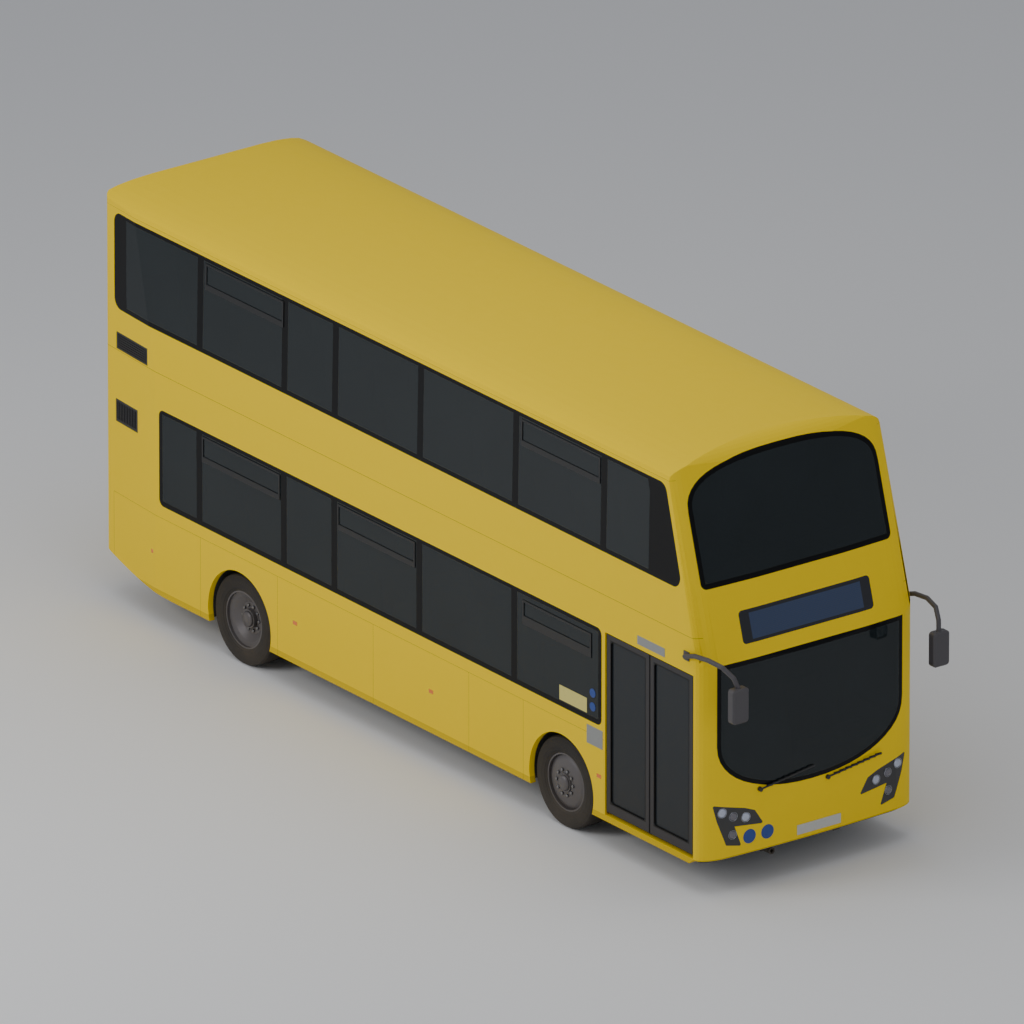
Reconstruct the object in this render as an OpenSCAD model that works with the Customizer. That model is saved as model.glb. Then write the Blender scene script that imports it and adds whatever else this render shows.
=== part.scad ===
/* [Overall] */
// Length of the body from rear panel to the most forward point of the front
body_length = 9650; // [9000:10:11500]
// Width over the side panels
body_width = 2550; // [2100:5:2600]
// Height of the roof crown above the road
roof_z = 4255; // [4100:5:4500]
// Thickness of walls, roof and end panels
wall = 60; // [45:1:70]
// Height of the skirt's lower edge above the road
skirt_z = 300; // [270:5:340]
// Height where the lower and upper side panels meet
deck_seam_z = 2600; // [2560:5:2640]
// Height where the upper side panels meet the roof
cant_z = 4060; // [4040:5:4080]
// Lean of the upper deck's side, on each side
upper_lean = 27; // [0:1:40]
// How far the front face bulges in the middle
front_bulge = 28; // [10:1:40]
// Length over which the front corner rounds
corner_x = 150; // [120:5:200]
// Length over which the raked front's corner rounds
up_corner_x = 105; // [90:5:140]
// Width over which the front corner rounds
corner_y = 310; // [240:5:360]
// Radius of the rear corners in plan
rear_corner_r = 120; // [90:5:160]

/* [Axles and wheels] */
// Distance between the axles
wheelbase = 5125; // [4700:5:5600]
// Rear axle behind the middle of the body
rear_axle_back = 2545; // [2300:5:2700]
// Outer radius of a tyre
tyre_r = 455; // [430:1:465]
// Width of a tyre
tyre_w = 275; // [240:1:285]
// Radius of the rim's bead seat
rim_r = 288; // [270:1:300]
// Tyre's outer face inside the side panel
tyre_inset = 30; // [15:1:50]
// Gap between the twin tyres
twin_gap = 42; // [30:1:60]
// Gap between a tyre and the edge of its arch
arch_gap = 50; // [45:1:90]

/* [Windows] */
// Bottom of the lower windows
low_win_z0 = 1243; // [1150:1:1300]
// Top of the lower windows
low_win_z1 = 2235; // [2180:1:2260]
// Bottom of the upper windows
up_win_z0 = 3030; // [2980:1:3080]
// Top of the upper windows
up_win_z1 = 4020; // [3980:1:4030]
// Rearmost edge of the lower windows
low_win_x0 = -3835; // [-3900:1:-3750]
// Foremost edge of the lower windows
low_win_x1 = 3211; // [3180:1:3225]
// Rearmost edge of the upper windows
up_win_x0 = -4620; // [-4660:1:-4550]
// Upper windows' front edge behind the seam with the front panel
up_win_back = 20; // [15:1:80]
// Thickness of the side glass
glass_t = 8; // [5:1:12]
// Radius of a window's corners
win_r = 70; // [40:1:100]
// Width of the post between two windows
post_w = 95; // [80:1:110]

/* [Door] */
// Rear edge of the doorway
door_x0 = 3265; // [3255:1:3290]
// Clear width of the doorway
door_w = 1377; // [1200:1:1385]
// Bottom of the door leaves
door_z0 = 375; // [370:1:400]
// Top of the doorway
door_z1 = 2225; // [2150:1:2260]
// Thickness of a door leaf
leaf_t = 40; // [30:1:45]
// Width of a leaf's frame
leaf_rim = 62; // [50:1:75]

/* [Floors and interior] */
// Top of the lower floor
floor_z = 362; // [350:1:364]
// Thickness of the lower floor
floor_t = 50; // [40:1:60]
// Underside of the upper floor
upper_floor_z = 2330; // [2300:1:2360]
// Thickness of the upper floor
upper_floor_t = 80; // [60:1:100]
// Distance between rows of seats
seat_pitch = 780; // [720:5:850]
// Width of a double seat
seat_w = 880; // [800:5:920]
// Steering lock on each side
steer_lock = 40; // [20:1:45]

/* [Hidden] */
$fn = 48;

// The frame's origin lies under the middle of the whole length, mirrors included
half_l = body_length / 2;
half_w = body_width / 2;
mirror_reach = 455;
x_shift = mirror_reach / 2;
far = 14000;

// Front: upright to the top of the windscreen, raked back above it
windscreen_top_z = 2320;
front_z = 350;
rake = 16.3;
brow_r = 265;
front_corner_y = half_w - corner_y;
door_x1 = door_x0 + door_w;

// Rear: upright, with the sides drawn in over the last stretch
rear_taper_x = -half_l + 925;
rear_taper = 60;
rear_seam_x = -half_l + rear_corner_r + 60;
rear_top_r = 150;
tail_rise_x = -half_l + 1175;
tail_rise = 200;

// Axles
front_axle_x = wheelbase - rear_axle_back;
rear_axle_x = -rear_axle_back;
axle_z = tyre_r;
wheel_y = half_w - tyre_inset - tyre_w / 2;
twin_y = wheel_y - tyre_w - twin_gap;
kingpin_in = 120;
kingpin_y = wheel_y - kingpin_in;
arch_r = tyre_r + arch_gap;
sheet = 8;
housing_r = sqrt(tyre_r * tyre_r + pow(kingpin_in + tyre_w / 2, 2)) + 15;
rear_housing_r = tyre_r + 60;
housing_y = kingpin_y - tyre_r * sin(steer_lock) - 36;
rear_housing_y = twin_y - tyre_w / 2 - 14;

// Window posts that both decks share
post_x = [-3185, -1828, -1020, 333, 1835];
last_post_x = 3220;
low_border = 53;
glass_gap = 2;

// Doors: each leaf hangs at its middle on an arm from a post behind the jamb
post_back = 18;
post_r = 16;
side_gap = 20;
centre_gap = 20;
arm_off = 75;
leaf_y = -(half_w - 8 - leaf_t / 2);
post_y = leaf_y + arm_off;
arm_r = (door_w / 2 - centre_gap / 2 + post_back + post_back + side_gap) / 2;
leaf_half = arm_r - post_back - side_gap;
leaf_z0 = door_z0 + 25;
leaf_z1 = door_z1 - 12;
pin_r = 8;
pin_gap = 0.3;

// Heights inside
ceiling_z = upper_floor_z;
upper_deck_z = upper_floor_z + upper_floor_t;
rear_floor_z = 720;
engine_deck_z = 1200;
rear_floor_x = -1950;
engine_deck_x = -3300;

// How far back the raked front lies at a height
function rake_back(z) = max(0, z - windscreen_top_z) * tan(rake);

// Points along an arc about a centre
function arc(centre, r, from, to, steps) = [
    for (i = [0:steps])
        let (a = from + (to - from) * i / steps)
            [centre[0] + r * cos(a), centre[1] + r * sin(a)]
];

// The same outline on the other side of the axis, in reverse order
function mirrored(points) = [
    for (i = [len(points) - 1:-1:0]) [-points[i][0], points[i][1]]
];

function flipped(points) = [
    for (i = [len(points) - 1:-1:0]) [points[i][0], -points[i][1]]
];

// A rounder-than-ellipse quarter: a and b are its half sizes, n its fullness
function quarter(a, b, n, steps) = [
    for (i = [0:steps])
        let (t = 90 * i / steps)
            [a * pow(cos(t), 2 / n), b * pow(sin(t), 2 / n)]
];

// Side to side over the roof, looking along the bus
section_right = concat(
    [[half_w, -far / 4], [half_w, deck_seam_z]],
    [for (p = quarter(half_w - upper_lean, roof_z - cant_z, 2.3, 10)) [p[0], cant_z + p[1]]]
);
section_points = concat(section_right, mirrored(section_right));

// The left half of the front in plan, from the middle to the side
function front_curve(x0, round_x) = concat(
    [
        for (i = [0:4])
            let (y = front_corner_y * i / 5)
                [x0 - front_bulge * pow(y / front_corner_y, 2), y]
    ],
    [
        for (i = [0:8])
            let (t = 90 * i / 8)
                [x0 - front_bulge - round_x * (1 - cos(t)), front_corner_y + corner_y * sin(t)]
    ]
);

// Plan of the whole body
rear_corner_y = half_w - rear_taper - rear_corner_r;
plan_left = concat(
    front_curve(half_l, corner_x),
    [[rear_taper_x, half_w]],
    arc([-half_l + rear_corner_r, rear_corner_y], rear_corner_r, 90, 180, 6)
);
plan_points = concat(plan_left, flipped(plan_left));

// Plan of the raked front, its most forward point at the origin
raked_left = concat(front_curve(0, up_corner_x), [[-far, half_w]]);
raked_points = concat(raked_left, flipped(raked_left));

// Side view: rounded brow and rounded rear roof edge
brow_tangent = brow_r * tan((90 - rake) / 2);
brow_x = half_l - rake_back(roof_z) - brow_tangent;
profile_points = concat(
    [[-half_l, -far / 4]],
    arc([-half_l + rear_top_r, roof_z - rear_top_r], rear_top_r, 180, 90, 6),
    arc([brow_x, roof_z - brow_r], brow_r, 90, rake, 8),
    [[half_l + far / 4, roof_z - brow_r - far], [half_l, -far / 4]]
);

module place() {
    translate([-x_shift, 0, 0]) children();
}

module along_x(from, to) {
    translate([from, 0, 0]) rotate([90, 0, 90]) linear_extrude(to - from) children();
}

module along_y(from, to) {
    translate([0, to, 0]) rotate([90, 0, 0]) linear_extrude(to - from) children();
}

module inset_by(depth) {
    if (depth == 0)
        children();
    else
        offset(delta = -depth) children();
}

// The space inside the body's outer skin, or inside a surface that lies deeper
module body_volume(depth) {
    intersection() {
        along_x(-far / 2, far / 2) inset_by(depth) polygon(section_points);
        translate([0, 0, -far / 4]) linear_extrude(far) inset_by(depth) polygon(plan_points);
        translate([half_l, 0, windscreen_top_z]) rotate([0, -rake, 0])
            translate([0, 0, -far / 2]) linear_extrude(far) inset_by(depth) polygon(raked_points);
        along_y(-far / 4, far / 4) inset_by(depth) polygon(profile_points);
    }
}

// What lies between two depths under the skin
module layer(from, to) {
    difference() {
        intersection() {
            body_volume(from);
            children();
        }
        body_volume(to);
    }
}

// A recess of one depth in the skin
module recess(depth) {
    difference() {
        children();
        body_volume(depth);
    }
}

// Where the front panels meet the side panels, at a height
up_seam = corner_x - up_corner_x;
function seam_x(z) =
    door_x1 - rake_back(z)
        + up_seam * min(1, max(0, z - windscreen_top_z) / (deck_seam_z - windscreen_top_z));

function seam_points(z0, z1) = [
    for (z = [z0, windscreen_top_z, deck_seam_z, z1])
        if (z >= z0 && z <= z1) [seam_x(z), z]
];

// Side view of the part of the body ahead of the side panels
module front_zone(z0, z1) {
    polygon(concat(seam_points(z0, z1), [[far / 2, z1], [far / 2, z0]]));
}

module side_zone(z0, z1) {
    polygon(concat(seam_points(z0, z1), [[rear_seam_x, z1], [rear_seam_x, z0]]));
}

module rear_zone(z0, z1) {
    translate([-far / 2, z0]) square([far / 2 + rear_seam_x, z1 - z0]);
}

// Lower edge of the skirt, which rises behind the rear wheels
skirt_cut_points = concat(
    [[far / 2, -far / 8], [far / 2, front_z], [door_x1, front_z], [door_x1 - 60, skirt_z]],
    [
        for (i = [0:8])
            let (t = i / 8)
                [tail_rise_x + (-half_l - tail_rise_x) * t, skirt_z + tail_rise * (1 - cos(90 * t))]
    ],
    [[-far / 2, skirt_z + tail_rise], [-far / 2, -far / 8]]
);

module below_skirt() {
    along_y(-far / 4, far / 4) polygon(skirt_cut_points);
}

module wheel_arch(x) {
    translate([x, 0, axle_z]) rotate([90, 0, 0]) cylinder(r = arch_r, h = far / 4, center = true);
}

module rounded(r) {
    offset(r = r, $fn = 32) offset(delta = -r) children();
}

// Outline of a whole band of windows
module low_band(margin) {
    rounded(win_r)
        polygon([
            [low_win_x0 + margin, low_win_z0 + margin], [low_win_x1 - margin, low_win_z0 + margin],
            [low_win_x1 - margin, low_win_z1 - margin], [low_win_x0 + margin, low_win_z1 - margin]
        ]);
}

function up_front(z) = seam_x(z) - up_win_back;

module up_band(margin) {
    rounded(win_r + 40)
        polygon([
            [up_win_x0 + margin, up_win_z0 + margin], [up_front(up_win_z0) - margin, up_win_z0 + margin],
            [up_front(up_win_z1) - margin, up_win_z1 - margin], [up_win_x0 + margin, up_win_z1 - margin]
        ]);
}

driver_win_x0 = door_x0 + 60;
driver_win_x1 = door_x1 - 70;
driver_win_z0 = low_win_z0 - 110;

module driver_window(margin) {
    rounded(win_r)
        translate([driver_win_x0 + margin, driver_win_z0 + margin])
            square([driver_win_x1 - driver_win_x0 - 2 * margin, low_win_z1 - driver_win_z0 - 2 * margin]);
}

// The posts between windows, as they stand behind the glass
module posts(z0, z1, last) {
    for (x = last ? concat(post_x, [last_post_x]) : post_x)
        translate([x - post_w / 2, z0]) square([post_w, z1 - z0]);
}

module low_openings() {
    difference() {
        low_band(low_border);
        posts(low_win_z0, low_win_z1, false);
    }
}

module up_openings() {
    difference() {
        up_band(low_border);
        posts(up_win_z0, up_win_z1, true);
    }
}

// ---- Side panels ----

module lower_side(y0, y1) {
    difference() {
        layer(0, wall) along_y(y0, y1) side_zone(-far / 8, deck_seam_z);
        below_skirt();
        wheel_arch(front_axle_x);
        wheel_arch(rear_axle_x);
        along_y(y0, y1) low_openings();
        recess(glass_gap + glass_t) along_y(y0, y1) low_band(0);
        recess(grille_t) along_y(y0, y1) low_grille(0);
        along_y(y0, y1) low_grille(25);
        children();
    }
}

module upper_side(y0, y1) {
    difference() {
        layer(0, wall) along_y(y0, y1) side_zone(deck_seam_z, cant_z);
        along_y(y0, y1) up_openings();
        recess(glass_gap + glass_t) along_y(y0, y1) up_band(0);
        recess(grille_t) along_y(y0, y1) up_grille(0);
        along_y(y0, y1) up_grille(25);
    }
}

module right_lower_side() {
    color("gold") place()
        lower_side(-far / 4, 0)
            along_y(-far / 4, 0)
                translate([door_x0, floor_z]) square([door_w + far / 4, door_z1 - floor_z]);
}

module left_lower_side() {
    color("gold") place()
        lower_side(0, far / 4) {
            along_y(0, far / 4) driver_window(low_border);
            recess(glass_gap + glass_t) along_y(0, far / 4) driver_window(0);
        }
}

module right_upper_side() {
    color("gold") place() upper_side(-far / 4, 0);
}

module left_upper_side() {
    color("gold") place() upper_side(0, far / 4);
}

module roof() {
    color("gold") place()
        difference() {
            layer(0, wall) along_y(-far / 4, far / 4)
                translate([-far / 2, cant_z]) square([far, far / 4]);
            along_x(half_l - 1400, half_l) upper_screen(upper_screen_border);
            recess(glass_gap + glass_t) along_x(half_l - 1400, half_l) upper_screen(0);
        }
}

// ---- Front and rear ----

// Main windscreen: straight sides over a deep round bottom
screen_half_w = half_w - 175;
screen_mid_z = 1500;
screen_drop = 565;
screen_border = 45;

module main_screen(margin) {
    bottom = [
        for (p = quarter(screen_half_w - margin, screen_drop - margin, 2.15, 12))
            [p[0], screen_mid_z - p[1]]
    ];
    right = concat([[screen_half_w - margin, windscreen_top_z - margin]], bottom);
    polygon(concat(right, mirrored(right)));
}

// Upper windscreen: a straight bottom under a full arch
upper_screen_half_w = half_w - 150;
upper_screen_z0 = 3030;
upper_screen_side_z = 3750;
upper_screen_rise = 425;
upper_screen_border = 50;

module upper_screen(margin) {
    arch = [
        for (p = quarter(upper_screen_half_w - margin, upper_screen_rise - margin, 2.6, 12))
            [p[0], upper_screen_side_z + p[1]]
    ];
    right = concat([[upper_screen_half_w - margin, upper_screen_z0 + margin]], arch);
    rounded(60) polygon(concat(right, mirrored(right)));
}

// Destination display in the brow between the two windscreens
display_half_w = half_w - 500;
display_z0 = 2460;
display_z1 = 2770;
display_t = 34;

module display_outline(margin) {
    rounded(40)
        translate([-display_half_w + margin, display_z0 + margin])
            square([2 * (display_half_w - margin), display_z1 - display_z0 - 2 * margin]);
}

// Head and tail lamps
head_t = 30;
module headlamp_outline() {
    rounded(14)
        polygon([
            [half_w - 130, 912], [half_w - 492, 816], [half_w - 605, 770], [half_w - 707, 614],
            [half_w - 373, 653], [half_w - 452, 440], [half_w - 275, 480], [half_w - 176, 735]
        ]);
}

tail_y = half_w - 265;
module tail_outline(side) {
    for (z = [760, 930, 1100])
        translate([side * tail_y, z]) circle(r = 68);
}

// Engine cover and rear window
cover_half_w = half_w - 395;
cover_z0 = 640;
cover_z1 = 1560;
cover_gap = 8;
rear_win_half_w = half_w - 315;

module cover_outline(gap) {
    rounded(20)
        translate([-cover_half_w + gap, cover_z0 + gap])
            square([2 * (cover_half_w - gap), cover_z1 - cover_z0 - 2 * gap]);
}

// The cover swings on a pin at each end of its top edge
cover_pin_r = 6;
cover_pin_in = 12;
cover_pin_down = 24;
pin_in = 45;
cover_pin_z = cover_z1 - cover_gap - cover_pin_down;
module cover_pins(r, y1) {
    for (side = [-1, 1])
        translate([-half_l + cover_pin_in, side * (cover_half_w - pin_in), cover_pin_z])
            rotate([side > 0 ? -90 : 90, 0, 0]) cylinder(r = r, h = y1 - cover_half_w + pin_in);
}

module rear_win_outline(margin) {
    rounded(win_r + 30)
        translate([-rear_win_half_w + margin, up_win_z0 + margin])
            square([2 * (rear_win_half_w - margin), up_win_z1 - 60 - up_win_z0 - 2 * margin]);
}

module front_lower_panel() {
    color("gold") place()
        difference() {
            layer(0, wall) along_y(-far / 4, far / 4) front_zone(-far / 8, windscreen_top_z);
            below_skirt();
            along_x(half_l - 400, far / 2) main_screen(screen_border);
            recess(glass_gap + glass_t) along_x(half_l - 400, far / 2) main_screen(0);
            for (side = [-1, 1])
                recess(head_t) along_x(half_l - 400, far / 2) scale([side, 1]) headlamp_outline();
        }
}

module front_upper_panel() {
    color("gold") place()
        difference() {
            layer(0, wall) along_y(-far / 4, far / 4) front_zone(windscreen_top_z, cant_z);
            along_x(half_l - 1400, far / 2) upper_screen(upper_screen_border);
            recess(glass_gap + glass_t) along_x(half_l - 1400, far / 2) upper_screen(0);
            recess(display_t) along_x(half_l - 1400, far / 2) display_outline(0);
        }
}

module rear_lower_panel() {
    color("gold") place()
        difference() {
            layer(0, wall) along_y(-far / 4, far / 4) rear_zone(-far / 8, deck_seam_z);
            below_skirt();
            along_x(-far / 2, -half_l + 400) cover_outline(0);
            for (side = [-1, 1])
                recess(head_t) along_x(-far / 2, -half_l + 400) tail_outline(side);
        }
    color("gold") place() cover_pins(cover_pin_r, cover_half_w + 5);
}

module rear_upper_panel() {
    color("gold") place()
        difference() {
            layer(0, wall) along_y(-far / 4, far / 4) rear_zone(deck_seam_z, cant_z);
            along_x(-far / 2, -half_l + 400) rear_win_outline(low_border);
            recess(glass_gap + glass_t) along_x(-far / 2, -half_l + 400) rear_win_outline(0);
        }
}

// ---- Glass ----

module windscreen() {
    color("darkslategray") place()
        layer(glass_gap, glass_gap + glass_t) along_x(half_l - 400, far / 2) main_screen(0);
}

module upper_windscreen() {
    color("darkslategray") place()
        layer(glass_gap, glass_gap + glass_t) along_x(half_l - 1400, far / 2) upper_screen(0);
}

module side_windows() {
    color("darkslategray") place() {
        layer(glass_gap, glass_gap + glass_t) along_y(-far / 4, 0) low_band(0);
        layer(glass_gap, glass_gap + glass_t) along_y(0, far / 4) low_band(0);
        layer(glass_gap, glass_gap + glass_t) along_y(-far / 4, 0) up_band(0);
        layer(glass_gap, glass_gap + glass_t) along_y(0, far / 4) up_band(0);
        layer(glass_gap, glass_gap + glass_t) along_y(0, far / 4) driver_window(0);
    }
}

module rear_window() {
    color("darkslategray") place()
        layer(glass_gap, glass_gap + glass_t) along_x(-far / 2, -half_l + 400) rear_win_outline(0);
}

module destination_display() {
    color("midnightblue") place()
        layer(glass_gap, display_t) along_x(half_l - 1400, far / 2) display_outline(0);
}

// ---- Trim that belongs to the body ----

grille_t = 24;
module up_grille(margin) {
    translate([-half_l + 237 + margin, deck_seam_z + 12 + margin])
        square([558 - 2 * margin, 178 - 2 * margin]);
}

module low_grille(margin) {
    translate([-half_l + 221 + margin, 1857 + margin]) square([395 - 2 * margin, 236 - 2 * margin]);
}

module grille_slots() {
    for (i = [0:5])
        translate([-half_l + 262, deck_seam_z + 32 + 24 * i]) square([508, 12]);
    for (i = [0:11])
        translate([-half_l + 246 + 29 * i, 1882]) square([16, 186]);
}

module side_grilles() {
    color("dimgray") place()
        for (y0 = [-far / 4, 0])
            layer(3, grille_t) along_y(y0, y0 + far / 4)
                difference() {
                    union() {
                        up_grille(0);
                        low_grille(0);
                    }
                    grille_slots();
                }
}

module lamps() {
    color("dimgray") place() {
        for (side = [-1, 1]) {
            layer(glass_gap, head_t) along_x(half_l - 400, far / 2) scale([side, 1]) headlamp_outline();
            layer(glass_gap, head_t) along_x(-far / 2, -half_l + 400) tail_outline(side);
        }
    }
}

// A mirror hangs from a curved arm ahead of each front corner
mirror_path = [
    [door_x1 - 100, 25, 2400], [door_x1 + 60, 32, 2455], [half_l + 75, 26, 2475],
    [half_l + 255, -10, 2450], [half_l + 365, -60, 2365], [half_l + 400, -85, 2270]
];
mirror_head = [100, 190, 350];
arm_tip_r = 24;

module mirror_half(side) {
    for (i = [0:len(mirror_path) - 2])
        hull() {
            for (p = [mirror_path[i], mirror_path[i + 1]])
                translate([p[0], side * (half_w + p[1]), p[2]]) sphere(r = arm_tip_r, $fn = 16);
        }
    translate([door_x1 - 140, side > 0 ? half_w : -half_w - 12, 2355]) cube([80, 12, 90]);
    hull() {
        for (dy = [-1, 1], dz = [-1, 1])
            translate([half_l + mirror_reach - 50, side * (half_w - 85) + dy * 60, 2100 + dz * 140])
                rotate([0, 90, 0]) {
                    cylinder(r = 35, h = 70, center = true, $fn = 20);
                    cylinder(r = 22, h = mirror_head[0], center = true, $fn = 20);
                }
    }
}

module mirrors() {
    color("dimgray") place() {
        mirror_half(1);
        mirror_half(-1);
    }
}

// Wiper arms pivot beside the foot of the windscreen and lie across it
wiper_pivots = [[-620, 975], [180, 905]];
wiper_hub_r = 22;
wiper_r = 9;
wiper_len = 640;
wiper_slope = 82;

module wipers() {
    color("black") place()
        difference() {
            for (p = wiper_pivots) {
                translate([half_l - wall, p[0], p[1]]) rotate([0, 90, 0])
                    cylinder(r = wiper_hub_r, h = wall + wiper_hub_r);
                translate([half_l + wiper_hub_r / 2, p[0], p[1]]) rotate([-wiper_slope, 0, 0])
                    cylinder(r = wiper_r, h = wiper_len);
            }
            body_volume(0);
        }
}

// ---- Floors and frame ----

rail_y = 430;
rail_w = 80;
low_rail_z = floor_z - floor_t - 72;
high_rail_z = rear_floor_z - floor_t - 72;
tail_rail_z = 430;
rail_h = 72;
kick_x = rear_floor_x - floor_t;
kick_run = 100;

module rail_side_view() {
    polygon([
        [door_x1, low_rail_z], [door_x1, low_rail_z + rail_h],
        [kick_x, low_rail_z + rail_h], [kick_x - kick_run, high_rail_z + rail_h],
        [engine_deck_x + 40, high_rail_z + rail_h], [engine_deck_x - 40, tail_rail_z + rail_h],
        [-half_l + wall, tail_rail_z + rail_h], [-half_l + wall, tail_rail_z],
        [engine_deck_x + 6, tail_rail_z], [engine_deck_x + 86, high_rail_z],
        [kick_x - kick_run - 60, high_rail_z], [kick_x - 60, low_rail_z]
    ]);
}

tow_r = 21;
tow_boss_r = 35;
tow_len = 120;
module tow_boss(x, y, z) {
    translate([x, y, z]) rotate([0, 90, 0])
        difference() {
            cylinder(r = tow_boss_r, h = tow_len);
            translate([0, 0, -1]) cylinder(r = tow_r, h = tow_len + 2);
        }
}

// A cross member fits between the rails
member_w = 70;
member_h = rail_h - 12;
seat_gap = 0.3;
module cross_member(x, z) {
    translate([x, -rail_y + rail_w / 2 + seat_gap, z + (rail_h - member_h) / 2])
        cube([member_w, 2 * rail_y - rail_w - 2 * seat_gap, member_h]);
}

// Pads for a workshop jack under the rails
jack_x = 400;
jack_l = 120;
jack_w = 60;
jack_h = 20;

module chassis_frame() {
    color("dimgray") place() {
        difference() {
            union() {
                for (side = [-1, 1]) {
                    along_y(side * rail_y - rail_w / 2, side * rail_y + rail_w / 2) rail_side_view();
                    translate([jack_x - jack_l / 2, side * rail_y - jack_w / 2, low_rail_z - jack_h])
                        cube([jack_l, jack_w, jack_h + 1]);
                }
                tow_boss(door_x1, -rail_y, low_rail_z + rail_h / 2);
            }
            translate([door_x1 - 60, -rail_y, low_rail_z + rail_h / 2]) rotate([0, 90, 0])
                cylinder(r = tow_r, h = 61);
        }
        for (x = [-1500, -300, 900, 1900, 3300, door_x1 - 90]) cross_member(x, low_rail_z);
        for (x = [rear_axle_x - 420, rear_axle_x + 330]) cross_member(x, high_rail_z);
        cross_member(-half_l + wall + 10, tail_rail_z);
    }
}

module floor_side_view() {
    polygon([
        [far / 2, floor_z - floor_t], [far / 2, floor_z], [rear_floor_x, floor_z],
        [rear_floor_x, rear_floor_z], [engine_deck_x, rear_floor_z],
        [engine_deck_x, engine_deck_z], [-far / 2, engine_deck_z],
        [-far / 2, engine_deck_z - floor_t], [engine_deck_x - floor_t, engine_deck_z - floor_t],
        [engine_deck_x - floor_t, rear_floor_z - floor_t],
        [rear_floor_x - floor_t, rear_floor_z - floor_t],
        [rear_floor_x - floor_t, floor_z - floor_t]
    ]);
}

module housing_space(x, r, y_in) {
    for (side = [-1, 1])
        translate([x, side > 0 ? y_in : -far / 4, axle_z]) rotate([-90, 0, 0])
            cylinder(r = r, h = far / 4 - y_in);
    for (side = [-1, 1])
        translate([x - r, side > 0 ? y_in : -far / 4, axle_z - far / 8])
            cube([2 * r, far / 4 - y_in, far / 8]);
}

module lower_floor() {
    color("slategray") place()
        difference() {
            intersection() {
                body_volume(wall);
                along_y(-far / 4, far / 4) floor_side_view();
            }
            housing_space(front_axle_x, housing_r + sheet, housing_y - sheet);
            housing_space(rear_axle_x, rear_housing_r + sheet, rear_housing_y - sheet);
        }
}

// Sheet boxes over the wheels, open below and outwards
module wheel_box(x, r, y_in, side) {
    y0 = side > 0 ? y_in - sheet : -half_w + wall;
    h = half_w - wall - y_in + sheet;
    difference() {
        union() {
            translate([x, y0, axle_z]) rotate([-90, 0, 0]) cylinder(r = r + sheet, h = h);
            translate([x - r - sheet, y0, floor_z - floor_t])
                cube([2 * (r + sheet), h, axle_z - floor_z + floor_t]);
        }
        translate([x, side > 0 ? y_in : -half_w, axle_z]) rotate([-90, 0, 0])
            cylinder(r = r, h = half_w - y_in);
        translate([x - r, side > 0 ? y_in : -half_w, 0]) cube([2 * r, half_w - y_in, axle_z]);
        translate([x - 2 * r, -half_w, floor_z - floor_t - 2 * r]) cube([4 * r, body_width, 2 * r]);
    }
}

axle_tube_r = 75;
axle_slot = axle_tube_r + 45;
module wheel_housings() {
    color("slategray") place()
        difference() {
            for (side = [-1, 1]) {
                wheel_box(front_axle_x, housing_r, housing_y, side);
                wheel_box(rear_axle_x, rear_housing_r, rear_housing_y, side);
            }
            translate([rear_axle_x - axle_slot, -half_w, 0])
                cube([2 * axle_slot, body_width, axle_z + axle_slot]);
        }
}

// Stairs climb towards the rear along the left side, over the front wheel
steps = 9;
step_run = 209;
stair_x0 = door_x0 + 295;
stair_y = half_w - 655;
step_rise = (upper_deck_z - floor_z) / steps;
stairwell_x0 = stair_x0 - step_run * steps;
stairwell_x1 = stairwell_x0 + 1270;

module upper_floor() {
    color("slategray") place()
        difference() {
            intersection() {
                body_volume(wall);
                translate([-far / 2, -far / 4, upper_floor_z])
                    cube([far / 2 + door_x1 - rake_back(upper_deck_z) + 60, far / 2, upper_floor_t]);
            }
            translate([stairwell_x0, stair_y - 20, upper_floor_z - 1])
                cube([stairwell_x1 - stairwell_x0, far / 4, upper_floor_t + 2]);
        }
}

module staircase() {
    color("silver") place()
        intersection() {
            union() {
                for (i = [1:steps])
                    translate([stair_x0 - step_run * i, stair_y, floor_z + step_rise * i - 40])
                        cube([step_run + 30, half_w, 40]);
                along_y(stair_y - 18, stair_y)
                    polygon([
                        [stair_x0 + 30, floor_z], [stair_x0 + 30, floor_z + step_rise + 60],
                        [stairwell_x0 + step_run, upper_deck_z + 20], [stairwell_x0, upper_deck_z + 20],
                        [stairwell_x0, upper_deck_z - 260], [stair_x0 - 250, floor_z]
                    ]);
            }
            body_volume(wall);
        }
}

// ---- Seats ----

cushion_z = 370;
cushion_h = 90;
cushion_l = 440;
back_h = 620;
back_t = 70;
back_lean = 8;
leg_w = 60;

// The leg stands under the aisle end of the cushion
module double_seat(x, y, z) {
    leg_y = -sign(y) * (seat_w / 2 - leg_w);
    translate([x, y, z]) {
        translate([-cushion_l / 2, -seat_w / 2, cushion_z]) cube([cushion_l, seat_w, cushion_h]);
        translate([-cushion_l / 2 - back_t + 10, -seat_w / 2, cushion_z + 30]) rotate([0, -back_lean, 0])
            cube([back_t, seat_w, back_h]);
        translate([-leg_w, leg_y - leg_w / 2, 0]) cube([leg_w + 20, leg_w, cushion_z + 10]);
    }
}

seat_y = half_w - wall - 30 - seat_w / 2;
upper_row_x = engine_deck_x - 640;
module passenger_seats() {
    color("steelblue") place() {
        for (i = [0:3], side = [-1, 1])
            double_seat(rear_floor_x + 480 + seat_pitch * i, side * seat_y, floor_z);
        for (side = [-1, 1])
            double_seat(engine_deck_x + 1050, side * seat_y, rear_floor_z);
        for (side = [-1, 1])
            double_seat(engine_deck_x - 500, side * seat_y, engine_deck_z);
        for (i = [0:9])
            double_seat(upper_row_x + seat_pitch * i, -seat_y, upper_deck_z);
        for (i = [0:5])
            double_seat(upper_row_x + seat_pitch * i, seat_y, upper_deck_z);
        double_seat(stairwell_x1 + 370, seat_y, upper_deck_z);
    }
}

// ---- Driver's place ----

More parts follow.
